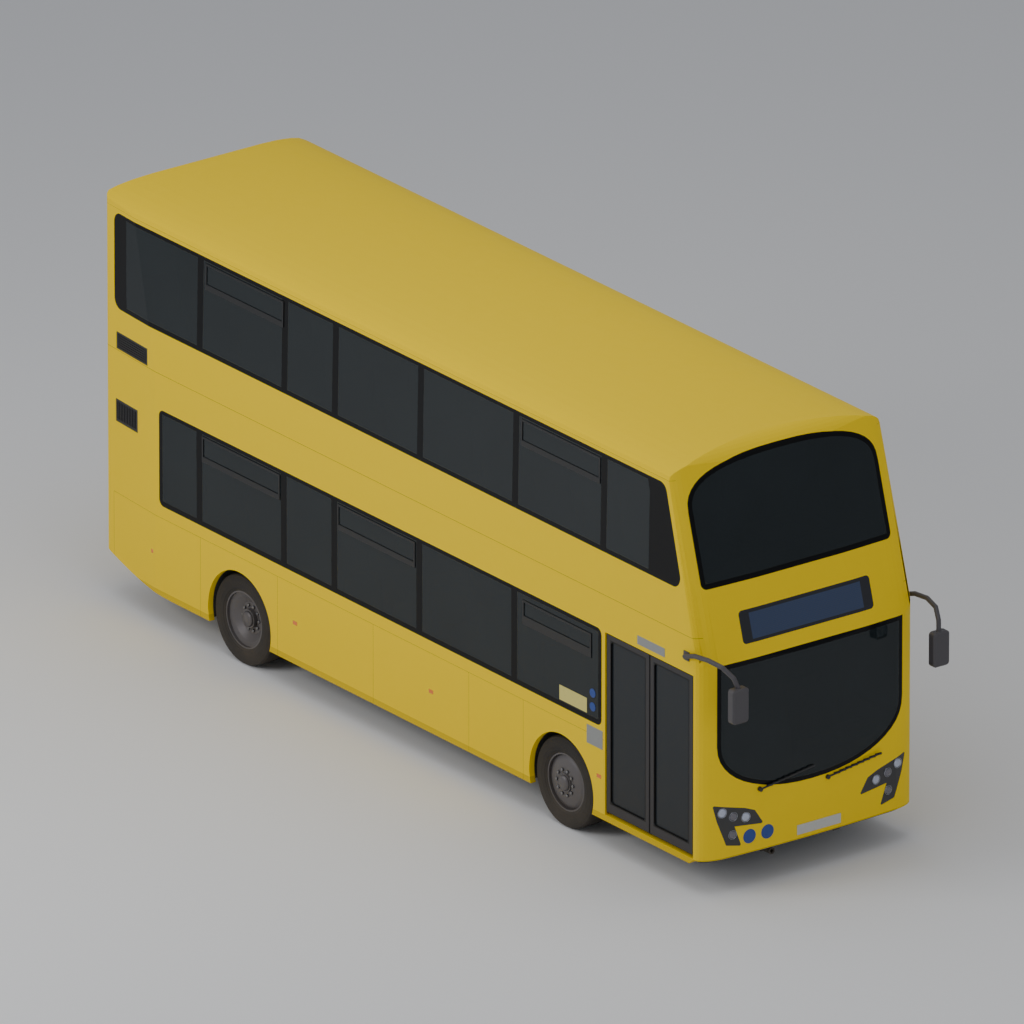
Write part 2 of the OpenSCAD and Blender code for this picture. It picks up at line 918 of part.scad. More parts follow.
cab_x0 = stair_x0 + 90;
driver_y = half_w - 555;
driver_x = cab_x0 + 350;
module driver_seat() {
    color("dimgray") place() {
        translate([driver_x - 210, driver_y - 240, floor_z + 390]) cube([470, 480, 100]);
        translate([driver_x - 250, driver_y - 230, floor_z + 420]) rotate([0, -8, 0])
            cube([90, 460, 660]);
        translate([driver_x, driver_y, floor_z]) cylinder(r = 90, h = 400);
    }
}

column_tilt = 30;
wheel_x = driver_x + 410;
wheel_z = floor_z + 820;
column_r = 26;
module dashboard() {
    color("dimgray") place()
        union() {
            intersection() {
                body_volume(wall);
                along_y(140, far / 4)
                    polygon([
                        [wheel_x + 200, floor_z + 560], [wheel_x + 150, floor_z + 700],
                        [wheel_x + 290, floor_z + 800], [far / 2, floor_z + 800],
                        [far / 2, floor_z], [wheel_x + 330, floor_z]
                    ]);
            }
            translate([wheel_x, driver_y, wheel_z]) rotate([0, -column_tilt, 0])
                translate([0, 0, -520]) cylinder(r = column_r, h = 500);
        }
}

steer_wheel_r = 225;
module steering_wheel() {
    color("black") place()
        translate([wheel_x, driver_y, wheel_z]) rotate([0, -column_tilt, 0]) {
            rotate_extrude() translate([steer_wheel_r - 15, 0]) circle(r = 15);
            translate([0, 0, -19.7]) cylinder(r = 45, h = 30);
            for (a = [0, 120, 240])
                rotate([0, 0, a]) translate([30, -14, -8]) cube([steer_wheel_r - 50, 28, 14]);
        }
}

module cab_partition() {
    color("silver") place()
        intersection() {
            body_volume(wall);
            union() {
                translate([cab_x0 - 40, 140, floor_z]) cube([30, half_w, ceiling_z - floor_z]);
                translate([cab_x0 - 10, 140, floor_z]) cube([700, 30, 900]);
            }
        }
}

rail_r = 17;
front_rail_z = upper_deck_z + 800;

module handrails() {
    color("orange") place() {
        for (x = [rear_floor_x + 850, rear_floor_x + 2400, door_x0 - 1000])
            translate([x, -seat_y + seat_w / 2 + 60, floor_z]) cylinder(r = rail_r, h = ceiling_z - floor_z);
        intersection() {
            body_volume(wall);
            translate([seam_x(front_rail_z) + rail_r + 2, 0, front_rail_z]) rotate([90, 0, 0])
                cylinder(r = rail_r, h = body_width, center = true);
        }
        for (x = [stairwell_x0 + 40, stairwell_x1 - 40])
            translate([x, stair_y - 45, upper_deck_z]) cylinder(r = rail_r, h = 905);
        translate([stairwell_x0 + 40, stair_y - 45, upper_deck_z + 880]) rotate([0, 90, 0])
            cylinder(r = rail_r - 3, h = stairwell_x1 - stairwell_x0 - 80);
    }
}

// ---- Running gear ----

module engine_block() {
    color("dimgray") place()
        translate([engine_deck_x - 1300, -rail_y + rail_w / 2, tail_rail_z + 20])
            cube([1200, 2 * rail_y - rail_w, 680]);
}

kingpin_r = 20;
knuckle_h = 96;
lug_h = 26;
beam_z = 130;
beam_h = low_rail_z - beam_z - 4;
module front_axle() {
    color("dimgray") place()
        translate([front_axle_x, 0, 0])
            difference() {
                union() {
                    translate([-60, -kingpin_y + 100, beam_z]) cube([120, 2 * kingpin_y - 200, beam_h]);
                    for (side = [-1, 1]) {
                        translate([-60, side * (kingpin_y - 155) - 50, beam_z])
                            cube([120, 100, axle_z - beam_z + knuckle_h / 2 + lug_h]);
                        for (z = [axle_z + knuckle_h / 2, axle_z - knuckle_h / 2 - lug_h])
                            translate([-45, side > 0 ? kingpin_y - 155 : -kingpin_y, z])
                                cube([90, 155, lug_h]);
                        for (z = [axle_z + knuckle_h / 2, axle_z - knuckle_h / 2 - lug_h])
                            translate([0, side * kingpin_y, z]) cylinder(r = 45, h = lug_h);
                        translate([0, side * rail_y, beam_z + beam_h - 1]) cylinder(r = 105, h = 5);
                    }
                }
                for (side = [-1, 1])
                    translate([0, side * kingpin_y, axle_z - 200]) cylinder(r = kingpin_r, h = 400);
            }
}

// The knuckle turns on its kingpin and carries the wheel on its spindle
spindle_r = 38;
run_gap = 0.05;
hub_in = 62;
module knuckle(side) {
    translate([front_axle_x, side * kingpin_y, axle_z])
        difference() {
            union() {
                translate([0, 0, -knuckle_h / 2 + 0.5]) cylinder(r = 44, h = knuckle_h - 1);
                translate([0, 0, -knuckle_h / 2 - lug_h])
                    cylinder(r = kingpin_r - run_gap, h = knuckle_h + 2 * lug_h);
                translate([0, 0, 0]) rotate([side > 0 ? -90 : 90, 0, 0])
                    cylinder(r = spindle_r, h = kingpin_in + tyre_w / 2 - 70);
                translate([0, side * hub_in / 2, 0]) rotate([90, 0, 0])
                    cylinder(r = 44, h = hub_in - 6, center = true);
            }
        }
}

module left_knuckle() {
    color("dimgray") place() knuckle(1);
}

module right_knuckle() {
    color("dimgray") place() knuckle(-1);
}

rear_spindle_r = 62;
module rear_axle() {
    color("dimgray") place()
        translate([rear_axle_x, 0, axle_z]) {
            rotate([90, 0, 0]) cylinder(r = axle_tube_r, h = 2 * (twin_y - tyre_w / 2 - 20), center = true);
            rotate([90, 0, 0]) cylinder(r = rear_spindle_r, h = 2 * (wheel_y - 20), center = true);
            sphere(r = 190);
            rotate([0, -90, 0]) cylinder(r = 85, h = 300);
            for (side = [-1, 1])
                translate([0, side * rail_y, 0]) cylinder(r = 70, h = high_rail_z - axle_z);
        }
}

// Half section of a tyre: bead, bulged side wall, flat tread
module tyre_section() {
    w = tyre_w / 2;
    h = tyre_r - rim_r;
    polygon([
        [rim_r, -w + 26], [rim_r + 0.18 * h, -w + 8], [rim_r + 0.42 * h, -w],
        [rim_r + 0.72 * h, -w + 4], [rim_r + 0.92 * h, -w + 14], [tyre_r, -w + 34],
        [tyre_r, w - 34], [rim_r + 0.92 * h, w - 14], [rim_r + 0.72 * h, w - 4],
        [rim_r + 0.42 * h, w], [rim_r + 0.18 * h, w - 8], [rim_r, w - 26]
    ]);
}

module tyre(x, y) {
    translate([x, y, axle_z]) rotate([90, 0, 0]) rotate_extrude() tyre_section();
}

rim_t = 14;
hub_r = 95;
// Rim and hub about the axis, outboard side towards +Z
module rim_section(dish, hub_z0, hub_z1, bore_r) {
    w = tyre_w / 2 - 26;
    difference() {
        union() {
            polygon([
                [rim_r - rim_t, -w], [rim_r, -w], [rim_r, w], [rim_r - rim_t, w],
                [rim_r - rim_t, w - 30]
            ]);
            polygon([
                [rim_r - rim_t, w - 50], [rim_r - rim_t, w - 30], [rim_r - 60, w - 20 + dish * 0.4],
                [160, w - 20 + dish], [hub_r, w - 20 + dish], [hub_r, w - 38 + dish],
                [155, w - 38 + dish], [rim_r - 64, w - 38 + dish * 0.4]
            ]);
            translate([0, hub_z0]) square([hub_r, hub_z1 - hub_z0]);
        }
        translate([-1, hub_z0 - 1]) square([bore_r + 1, 400 + hub_z1 - hub_z0]);
    }
}

rim_w = tyre_w / 2 - 26;
front_dish = 28;
rear_dish = -70;
module front_rim(side) {
    translate([front_axle_x, side * wheel_y, axle_z]) rotate([side > 0 ? -90 : 90, 0, 0])
        difference() {
            union() {
                rotate_extrude() rim_section(front_dish, hub_in - kingpin_in + 4,
                    rim_w - 20 + front_dish + 12, 0);
            }
            translate([0, 0, -kingpin_in]) cylinder(r = spindle_r + run_gap,
                h = 2 * kingpin_in + tyre_w / 2 - 68);
        }
}

module rear_rims(side) {
    translate([rear_axle_x, side * wheel_y, axle_z]) rotate([side > 0 ? -90 : 90, 0, 0])
        difference() {
            union() {
                rotate_extrude() rim_section(rear_dish, -twin_gap - tyre_w - rim_w + 30,
                    rim_w - 20 + rear_dish + 40, 0);
                translate([0, 0, -twin_gap - tyre_w]) mirror([0, 0, 1])
                    rotate_extrude() rim_section(rear_dish, 0, 20, 0);
            }
            translate([0, 0, -2 * tyre_w - twin_gap])
                cylinder(r = rear_spindle_r + run_gap, h = 2 * tyre_w + twin_gap - 18);
        }
}

module front_left_tyre() {
    color("black") place() tyre(front_axle_x, wheel_y);
}

module front_left_rim() {
    color("gray") place() front_rim(1);
}

module rear_left_tyres() {
    color("black") place() {
        tyre(rear_axle_x, wheel_y);
        tyre(rear_axle_x, twin_y);
    }
}

module rear_left_rims() {
    color("gray") place() rear_rims(1);
}

module front_right_tyre() {
    color("black") place() tyre(front_axle_x, -wheel_y);
}

module front_right_rim() {
    color("gray") place() front_rim(-1);
}

module rear_right_tyres() {
    color("black") place() {
        tyre(rear_axle_x, -wheel_y);
        tyre(rear_axle_x, -twin_y);
    }
}

module rear_right_rims() {
    color("gray") place() rear_rims(-1);
}

// ---- Doors and engine cover ----

// The arms pass under and over the leaf
arm_t = 12;
arm_w = 28;
arm_end_r = 20;
arm_z = [leaf_z0 - 13 - arm_t, leaf_z1 + 6];
lug_t = 12;
lug_z = [leaf_z0 + 2, leaf_z1 - 2 - lug_t];
lug_w = 32;
pane_t = 8;

// A post at the jamb with two arms; side is 1 for the rear post and -1 for the front one
module door_post(x, side) {
    translate([x, post_y, 0])
        difference() {
            union() {
                translate([0, 0, floor_z + 0.3]) cylinder(r = post_r, h = ceiling_z - floor_z - 0.6);
                for (z = arm_z) {
                    translate([side > 0 ? 0 : -arm_r, -arm_w / 2, z]) cube([arm_r, arm_w, arm_t]);
                    translate([side * arm_r, 0, z]) cylinder(r = arm_end_r, h = arm_t);
                }
            }
            for (z = arm_z)
                translate([side * arm_r, 0, z - 1]) cylinder(r = pin_r + pin_gap, h = arm_t + 2);
        }
}

module rear_door_post() {
    color("dimgray") place() door_post(door_x0 - post_back, 1);
}

module front_door_post() {
    color("dimgray") place() door_post(door_x1 + post_back, -1);
}

module leaf_window() {
    rounded(30)
        translate([-leaf_half + leaf_rim, leaf_z0 + leaf_rim + leaf_t])
            square([2 * (leaf_half - leaf_rim), leaf_z1 - leaf_z0 - 2 * leaf_rim - leaf_t]);
}

// A leaf with its window, and the lugs whose pins turn in the arms
module door_leaf(x) {
    translate([x, leaf_y, 0]) {
        difference() {
            translate([-leaf_half, -leaf_t / 2, leaf_z0]) cube([2 * leaf_half, leaf_t, leaf_z1 - leaf_z0]);
            along_y(-leaf_t, leaf_t) leaf_window();
        }
        along_y(-pane_t / 2, pane_t / 2) leaf_window();
        for (i = [0, 1]) {
            pin_z0 = min(arm_z[i], lug_z[i] + lug_t / 2);
            pin_z1 = max(arm_z[i] + arm_t, lug_z[i] + lug_t / 2);
            translate([-lug_w / 2, leaf_t / 2 - 1, lug_z[i]])
                cube([lug_w, arm_off - leaf_t / 2 + 1, lug_t]);
            translate([0, arm_off, lug_z[i]]) cylinder(r = lug_w / 2, h = lug_t);
            translate([0, arm_off, pin_z0]) cylinder(r = pin_r, h = pin_z1 - pin_z0);
        }
    }
}

module rear_door_leaf() {
    color("dimgray") place() door_leaf(door_x0 - post_back + arm_r);
}

module front_door_leaf() {
    color("dimgray") place() door_leaf(door_x1 + post_back - arm_r);
}

module engine_cover() {
    color("gold") place()
        difference() {
            layer(0, wall - 20) along_x(-far / 2, -half_l + 400) cover_outline(cover_gap);
            cover_pins(cover_pin_r + run_gap, cover_half_w);
        }
}

chassis_frame();
lower_floor();
upper_floor();
wheel_housings();
right_lower_side();
left_lower_side();
right_upper_side();
left_upper_side();
roof();
front_lower_panel();
front_upper_panel();
rear_lower_panel();
rear_upper_panel();
windscreen();
upper_windscreen();
side_windows();
rear_window();
destination_display();
side_grilles();
lamps();
mirrors();
wipers();
engine_block();
front_axle();
rear_axle();
staircase();
passenger_seats();
driver_seat();
dashboard();
cab_partition();
handrails();
steering_wheel();
left_knuckle();
right_knuckle();
front_left_tyre();
front_left_rim();
front_right_tyre();
front_right_rim();
rear_left_tyres();
rear_left_rims();
rear_right_tyres();
rear_right_rims();
rear_door_post();
front_door_post();
rear_door_leaf();
front_door_leaf();
engine_cover();
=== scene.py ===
"""The finished look of a yellow double decker bus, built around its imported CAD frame."""

import math

import bmesh
import bpy
from mathutils import Matrix, Vector


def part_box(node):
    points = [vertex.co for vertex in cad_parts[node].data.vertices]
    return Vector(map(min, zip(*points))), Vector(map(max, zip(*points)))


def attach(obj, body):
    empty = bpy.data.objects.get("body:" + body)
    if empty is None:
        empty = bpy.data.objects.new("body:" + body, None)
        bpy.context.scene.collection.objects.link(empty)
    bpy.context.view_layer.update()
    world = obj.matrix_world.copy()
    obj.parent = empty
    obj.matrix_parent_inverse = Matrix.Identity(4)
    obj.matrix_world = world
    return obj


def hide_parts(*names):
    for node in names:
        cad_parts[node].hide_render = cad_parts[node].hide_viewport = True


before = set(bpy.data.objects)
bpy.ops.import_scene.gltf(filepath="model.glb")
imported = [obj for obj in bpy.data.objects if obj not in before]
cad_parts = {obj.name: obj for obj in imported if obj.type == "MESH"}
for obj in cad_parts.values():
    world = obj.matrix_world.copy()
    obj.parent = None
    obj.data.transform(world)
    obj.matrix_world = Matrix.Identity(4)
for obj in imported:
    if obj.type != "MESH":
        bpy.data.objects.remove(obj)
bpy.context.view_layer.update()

# ---- Camera ----
# A long lens a long way off looks down on the right side and the front,
# so that parallel edges of the bus stay parallel.
camera = bpy.data.objects.new("camera", bpy.data.cameras.new("camera"))
bpy.context.scene.collection.objects.link(camera)
bpy.context.scene.camera = camera
lens_mm, sensor_mm = 1200, 36
camera.data.lens = lens_mm
camera.data.sensor_width = sensor_mm
camera.data.clip_start = 1
camera.data.clip_end = 2000
aim = Vector((-0.1205, 0, 2.126))
toward = Vector((0.7417, -0.5576, 0.3725)).normalized()
side = Vector((0, 0, 1)).cross(toward).normalized()
up = toward.cross(side)
view_width = 9.758
distance = view_width / (sensor_mm / lens_mm)
camera.matrix_world = Matrix((
    (side.x, up.x, toward.x, aim.x + toward.x * distance),
    (side.y, up.y, toward.y, aim.y + toward.y * distance),
    (side.z, up.z, toward.z, aim.z + toward.z * distance),
    (0, 0, 0, 1),
))

# ---- Chassis frame, axles and engine ----
# Folded and welded steel rails under black chassis paint, with cast
# axle beams and a bare cast engine block, all dulled by road film.

# Every finish is a node tree over the place of the surface on the bus at rest.


class Nodes:
    """Adds nodes to a tree and joins them, with numbers or sockets as inputs."""

    def __init__(self, tree):
        self.tree = tree

    def add(self, kind, inputs=None, out=0, **settings):
        node = self.tree.nodes.new(kind)
        for name, value in settings.items():
            setattr(node, name, value)
        for name, value in (inputs or {}).items():
            socket = node.inputs[name]
            if isinstance(value, bpy.types.NodeSocket):
                self.tree.links.new(value, socket)
            else:
                socket.default_value = value
        return node.outputs[out]

    def math(self, operation, a, b=0.0, clamp=False):
        return self.add("ShaderNodeMath", {0: a, 1: b}, operation=operation, use_clamp=clamp)

    def place(self):
        """The surface's point on the bus at rest, whole and as x, y and z."""
        where = self.add("ShaderNodeTexCoord", out=3)
        split = self.tree.nodes.new("ShaderNodeSeparateXYZ")
        self.tree.links.new(where, split.inputs[0])
        return where, split.outputs[0], split.outputs[1], split.outputs[2]

    def mix(self, mask, a, b):
        node = self.tree.nodes.new("ShaderNodeMix")
        node.data_type = "RGBA"
        for socket, value in ((node.inputs[0], mask), (node.inputs[6], a), (node.inputs[7], b)):
            if isinstance(value, bpy.types.NodeSocket):
                self.tree.links.new(value, socket)
            else:
                socket.default_value = value
        return node.outputs[2]

    def ramp(self, value, low, high):
        return self.add("ShaderNodeMapRange", {0: value, 1: 0.0, 2: 1.0, 3: low, 4: high})

    def group(self, name, inputs, out=0):
        node = self.tree.nodes.new("ShaderNodeGroup")
        node.node_tree = bpy.data.node_groups[name]
        for key, value in inputs.items():
            if isinstance(value, bpy.types.NodeSocket):
                self.tree.links.new(value, node.inputs[key])
            else:
                node.inputs[key].default_value = value
        return node.outputs[out]


def new_group(name, inputs, outputs):
    """An effect that several finishes share, with its inputs and outputs."""
    tree = bpy.data.node_groups.new(name, "ShaderNodeTree")
    for label, kind in inputs:
        tree.interface.new_socket(label, in_out="INPUT", socket_type=kind)
    for label, kind in outputs:
        tree.interface.new_socket(label, in_out="OUTPUT", socket_type=kind)
    start = tree.nodes.new("NodeGroupInput")
    end = tree.nodes.new("NodeGroupOutput")
    return tree, Nodes(tree), start.outputs, end.inputs


def rgb(r, g, b):
    """Linear colour from 8-bit display values."""
    def line(c):
        c /= 255
        return c / 12.92 if c <= 0.04045 else ((c + 0.055) / 1.055) ** 2.4
    return (line(r), line(g), line(b), 1)


# Fine unevenness: a mask of noise at one scale, and a normal bumped by it.
tree, n, given, put = new_group(
    "Grain", [("Scale", "NodeSocketFloat"), ("Depth", "NodeSocketFloat")],
    [("Mask", "NodeSocketFloat"), ("Normal", "NodeSocketVector")])
spot = n.add("ShaderNodeTexCoord", out=3)
noise = n.add("ShaderNodeTexNoise", {"Vector": spot, "Scale": given["Scale"], "Detail": 3.0})
tree.links.new(noise, put["Mask"])
bump = n.add("ShaderNodeBump", {"Strength": given["Depth"], "Distance": 0.01, "Height": noise})
tree.links.new(bump, put["Normal"])

# Road film: grows towards the road and in patches.
tree, n, given, put = new_group(
    "Road film", [("Amount", "NodeSocketFloat")], [("Mask", "NodeSocketFloat")])
film_top_z, film_rise = 1.25, 1.1
spot, x, y, z = n.place()
patch = n.add("ShaderNodeTexNoise", {"Vector": spot, "Scale": 2.3, "Detail": 6.0})
low = n.math("DIVIDE", n.math("SUBTRACT", film_top_z, z), film_rise, True)
film = n.math("MULTIPLY", n.math("MULTIPLY", low, patch), given["Amount"], True)
tree.links.new(film, put["Mask"])


def finish_material(name, colour, rough, grain=(60.0, 0.05), film=0.0, coat=0.0, metal=0.0,
                    spread=0.12, draw=None):
    """A Principled finish with noise in colour and roughness; draw may change the colour."""
    material = bpy.data.materials.new(name)
    material.use_nodes = True
    n = Nodes(material.node_tree)
    shader = material.node_tree.nodes["Principled BSDF"]
    mask = n.group("Grain", {"Scale": grain[0], "Depth": grain[1]})
    normal = material.node_tree.nodes[-1].outputs["Normal"]
    darker = tuple(c * (1 - spread) for c in colour[:3]) + (1,)
    tint = n.mix(mask, colour, darker)
    roughness = n.ramp(mask, rough - 0.05, rough + 0.07)
    if draw:
        tint, roughness = draw(n, tint, roughness)
    if film:
        dirt = n.group("Road film", {"Amount": film})
        tint = n.mix(dirt, tint, rgb(96, 84, 66))
        roughness = n.math("MAXIMUM", roughness, n.math("MULTIPLY", dirt, 0.8))
    links = material.node_tree.links
    links.new(tint, shader.inputs["Base Color"])
    links.new(roughness, shader.inputs["Roughness"])
    links.new(normal, shader.inputs["Normal"])
    shader.inputs["Metallic"].default_value = metal
    shader.inputs["Coat Weight"].default_value = coat
    shader.inputs["Coat Roughness"].default_value = 0.06
    return material


def cover(material, *nodes, smooth=True):
    """Gives CAD nodes their finish."""
    for name in nodes:
        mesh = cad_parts[name].data
        mesh.materials.clear()
        mesh.materials.append(material)
        mesh.polygons.foreach_set("use_smooth", [smooth] * len(mesh.polygons))


chassis_paint = finish_material("chassis paint", rgb(38, 38, 40), 0.55, (90, 0.12), film=0.9)
cast_metal = finish_material("cast metal", rgb(92, 92, 94), 0.5, (160, 0.3), film=0.8, metal=0.7)
cover(chassis_paint, "chassis_frame", smooth=False)
cover(cast_metal, "front_axle", "rear_axle", "engine_block", "left_knuckle", "right_knuckle",
      smooth=False)

# ---- Floors and wheel housings ----
# Safety vinyl with light grit in it lies on both decks and runs up
# over the wheel housings. The stair has ribbed aluminium treads.


def speckle(n, tint, roughness):
    spot = n.add("ShaderNodeTexCoord", out=3)
    grit = n.add("ShaderNodeTexVoronoi", {"Vector": spot, "Scale": 140.0})
    dots = n.math("LESS_THAN", grit, 0.16)
    return n.mix(dots, tint, rgb(150, 152, 156)), roughness


floor_covering = finish_material("floor covering", rgb(74, 78, 84), 0.6, (220, 0.2), draw=speckle)
cover(floor_covering, "lower_floor", "upper_floor", "wheel_housings", smooth=False)


def stair_nosing(n, tint, roughness):
    spot = n.add("ShaderNodeTexCoord", out=3)
    ribs = n.add("ShaderNodeTexWave", {"Vector": spot, "Scale": 14.0})
    return n.mix(n.math("MULTIPLY", ribs, 0.4), tint, rgb(95, 96, 98)), roughness


aluminium = finish_material("aluminium tread", rgb(168, 170, 173), 0.35, (200, 0.15), metal=0.9,
                            draw=stair_nosing)
cover(aluminium, "staircase", smooth=False)

# ---- Body panels, roof and engine cover ----
# Glass-fibre and aluminium panels in glossy yellow. The skirt's foot is a
# darker rubbing lip, and fine joints mark where panels meet.


def between(n, value, low, high, soft=0.002):
    """1 where value lies between low and high, with a soft edge."""
    rise = n.math("DIVIDE", n.math("SUBTRACT", value, low), soft, True)
    fall = n.math("DIVIDE", n.math("SUBTRACT", high, value), soft, True)
    return n.math("MULTIPLY", rise, fall)


def both(n, *masks):
    """1 where every mask is 1."""
    total = masks[0]
    for mask in masks[1:]:
        total = n.math("MULTIPLY", total, mask)
    return total


def either(n, *masks):
    """1 where any mask is 1."""
    total = masks[0]
    for mask in masks[1:]:
        total = n.math("MAXIMUM", total, mask)
    return total


def joint_line(n, value, middle, half_width):
    """1 on a fine joint between two panels."""
    return between(n, value, middle - half_width, middle + half_width, 0.001)


skirt_foot_z, lip_top_z, skirt_top_z = 0.1, 0.362, 1.118
belt_z, cant_z = 2.600, 4.060
skirt_joints_x = (-4.8725, -3.3975, -2.1575, -0.6275, 0.8925, 1.7525)
skirt_back_x, door_back_x = -4.87, 3.03
flat_side_y = 1.19


def panel_joints(n, tint, roughness):
    where, x, y, z = n.place()
    lip = between(n, z, skirt_foot_z, lip_top_z)
    belt = joint_line(n, z, belt_z, 0.0025)
    cant = joint_line(n, z, cant_z, 0.0015)
    joints = [joint_line(n, x, at, 0.002) for at in skirt_joints_x]
    skirt_top = joint_line(n, z, skirt_top_z, 0.002)
    upright = both(n, either(n, *joints), between(n, z, skirt_foot_z, skirt_top_z))
    level = both(n, skirt_top, between(n, x, skirt_back_x, door_back_x))
    lines = either(n, belt, cant, upright, level)
    side = n.math("GREATER_THAN", n.math("ABSOLUTE", y), flat_side_y)
    lines = n.math("MULTIPLY", n.math("MULTIPLY", lines, side), 0.75)
    tint = n.mix(n.math("MULTIPLY", lip, 0.35), tint, rgb(150, 118, 4))
    tint = n.mix(lines, tint, rgb(70, 58, 6))
    return tint, n.math("MAXIMUM", roughness, n.math("MULTIPLY", lip, 0.45))


yellow_paint = finish_material("yellow paint", rgb(255, 216, 0), 0.5, (7, 0.012), film=0.05,
                               coat=0.06, spread=0.02, draw=panel_joints)
yellow_paint.node_tree.nodes["Principled BSDF"].inputs["Specular IOR Level"].default_value = 0.1
cover(yellow_paint, "right_lower_side", "left_lower_side", "right_upper_side", "left_upper_side",
      "roof", "front_lower_panel", "front_upper_panel", "rear_lower_panel", "rear_upper_panel",
      "engine_cover")

# ---- Side, front and rear glass ----
# Dark tinted panes are bonded over the window posts, and a black fired
# border hides the glue around and between them.


def glass_material(name, border):
    """Tinted glass, see-through a little, and black where border gives 1."""
    material = bpy.data.materials.new(name)
    material.use_nodes = True
    n = Nodes(material.node_tree)
    links = material.node_tree.links
    pane = material.node_tree.nodes["Principled BSDF"]
    grain = n.group("Grain", {"Scale": 1.4, "Depth": 0.02})
    normal = material.node_tree.nodes[-1].outputs["Normal"]
    mask = border(n)
    film = n.group("Road film", {"Amount": 0.25})
    tint = n.mix(grain, rgb(28, 36, 39), rgb(38, 47, 50))
    tint = n.mix(mask, tint, rgb(17, 17, 18))
    links.new(n.mix(film, tint, rgb(96, 84, 66)), pane.inputs["Base Color"])
    links.new(n.math("ADD", n.math("MULTIPLY", mask, 0.12), 0.05), pane.inputs["Roughness"])
    links.new(normal, pane.inputs["Normal"])
    links.new(n.ramp(mask, 0.45, 0.12), pane.inputs["Specular IOR Level"])
    clear = material.node_tree.nodes.new("ShaderNodeBsdfTransparent")
    clear.inputs[0].default_value = rgb(150, 165, 168)
    blend = material.node_tree.nodes.new("ShaderNodeMixShader")
    show = n.math("MULTIPLY", n.math("SUBTRACT", 1.0, mask), 0.3)
    links.new(show, blend.inputs[0])
    links.new(pane.outputs[0], blend.inputs[1])
    links.new(clear.outputs[0], blend.inputs[2])
    links.new(blend.outputs[0], material.node_tree.nodes["Material Output"].inputs[0])
    return material


lower_posts_x = (-3.4125, -2.0555, -1.2475, 0.1055, 1.6075)
upper_posts_x = lower_posts_x + (2.9925,)
post_half = 0.0475
lower_sill_z, lower_head_z = 1.297, 2.195
lower_back_x, lower_front_x = -4.010, 2.930
driver_sill_z, driver_head_z = 1.186, 2.182
driver_back_x, driver_front_x = 3.15, 4.292
upper_sill_z, upper_head_z = 3.077, 3.980
upper_back_x, upper_end_x = -4.635, 3.7
# The front edge of the upper band leans back with the upper windscreen
upper_front_x, screen_rake = 3.93, 0.292


def side_border(n):
    where, x, y, z = n.place()
    low = both(n, between(n, z, lower_sill_z, lower_head_z),
               between(n, x, lower_back_x, lower_front_x))
    for post_x in lower_posts_x:
        post = between(n, x, post_x - post_half, post_x + post_half)
        low = n.math("SUBTRACT", low, post, True)
    driver = both(n, between(n, z, driver_sill_z, driver_head_z),
                  between(n, x, driver_back_x, driver_front_x), n.math("GREATER_THAN", y, 0.0))
    high = both(n, between(n, z, upper_sill_z, upper_head_z),
                between(n, x, upper_back_x, upper_end_x))
    over_sill = n.math("SUBTRACT", z, upper_sill_z)
    rake = n.math("SUBTRACT", upper_front_x, n.math("MULTIPLY", over_sill, screen_rake))
    high = both(n, high, n.math("LESS_THAN", x, rake))
    for post_x in upper_posts_x:
        post = between(n, x, post_x - post_half, post_x + post_half)
        high = n.math("SUBTRACT", high, post, True)
    return n.math("SUBTRACT", 1.0, either(n, low, driver, high), True)


def bowl_border(n, y, reach, half_width, depth, roundness):
    """1 outside a half oval of this half width and depth; reach runs away from its flat side."""
    across = n.math("POWER", n.math("DIVIDE", n.math("ABSOLUTE", y), half_width), roundness)
    away = n.math("DIVIDE", n.math("MAXIMUM", reach, 0.0), depth)
    bowl = n.math("ADD", across, n.math("POWER", away, roundness))
    return n.math("GREATER_THAN", bowl, 1.0)


main_bowl_z, main_head_z = 1.5, 2.27
upper_foot_z, upper_bowl_z = 3.08, 3.75
rear_foot_z, rear_head_z, rear_half = 3.08, 3.905, 0.91


def main_screen_border(n):
    where, x, y, z = n.place()
    bowl = bowl_border(n, y, n.math("SUBTRACT", main_bowl_z, z),
                       half_width=1.055, depth=0.52, roundness=2.15)
    return either(n, bowl, n.math("GREATER_THAN", z, main_head_z))


def upper_screen_border(n):
    where, x, y, z = n.place()
    bowl = bowl_border(n, y, n.math("SUBTRACT", z, upper_bowl_z),
                       half_width=1.075, depth=0.375, roundness=2.6)
    return either(n, bowl, n.math("LESS_THAN", z, upper_foot_z))


def rear_border(n):
    where, x, y, z = n.place()
    inside = both(n, between(n, z, rear_foot_z, rear_head_z),
                  n.math("LESS_THAN", n.math("ABSOLUTE", y), rear_half))
    return n.math("SUBTRACT", 1.0, inside)


cover(glass_material("side glass", side_border), "side_windows")
cover(glass_material("windscreen glass", main_screen_border), "windscreen")
cover(glass_material("upper windscreen glass", upper_screen_border), "upper_windscreen")
cover(glass_material("rear glass", rear_border), "rear_window")

# ---- Destination display ----
# A smoked plastic panel set into the front, blank, over a grid of unlit
# amber dots. Its frame is darker than its field.
dots_per_metre = 60.0
field_half, field_foot_z, field_top_z = 0.66, 2.49, 2.735


def dot_grid(n, tint, roughness):
    where, x, y, z = n.place()
    column = n.math("FRACT", n.math("MULTIPLY", y, dots_per_metre))
    row = n.math("FRACT", n.math("MULTIPLY", z, dots_per_metre))
    dots = both(n, between(n, column, 0.3, 0.7, 0.05), between(n, row, 0.3, 0.7, 0.05))
    field = both(n, between(n, n.math("ABSOLUTE", y), -1.0, field_half),
                 between(n, z, field_foot_z, field_top_z))
    tint = n.mix(field, rgb(24, 26, 32), rgb(44, 62, 96))
    lit = n.math("MULTIPLY", both(n, dots, field), 0.55)
    return n.mix(lit, tint, rgb(86, 84, 62)), roughness


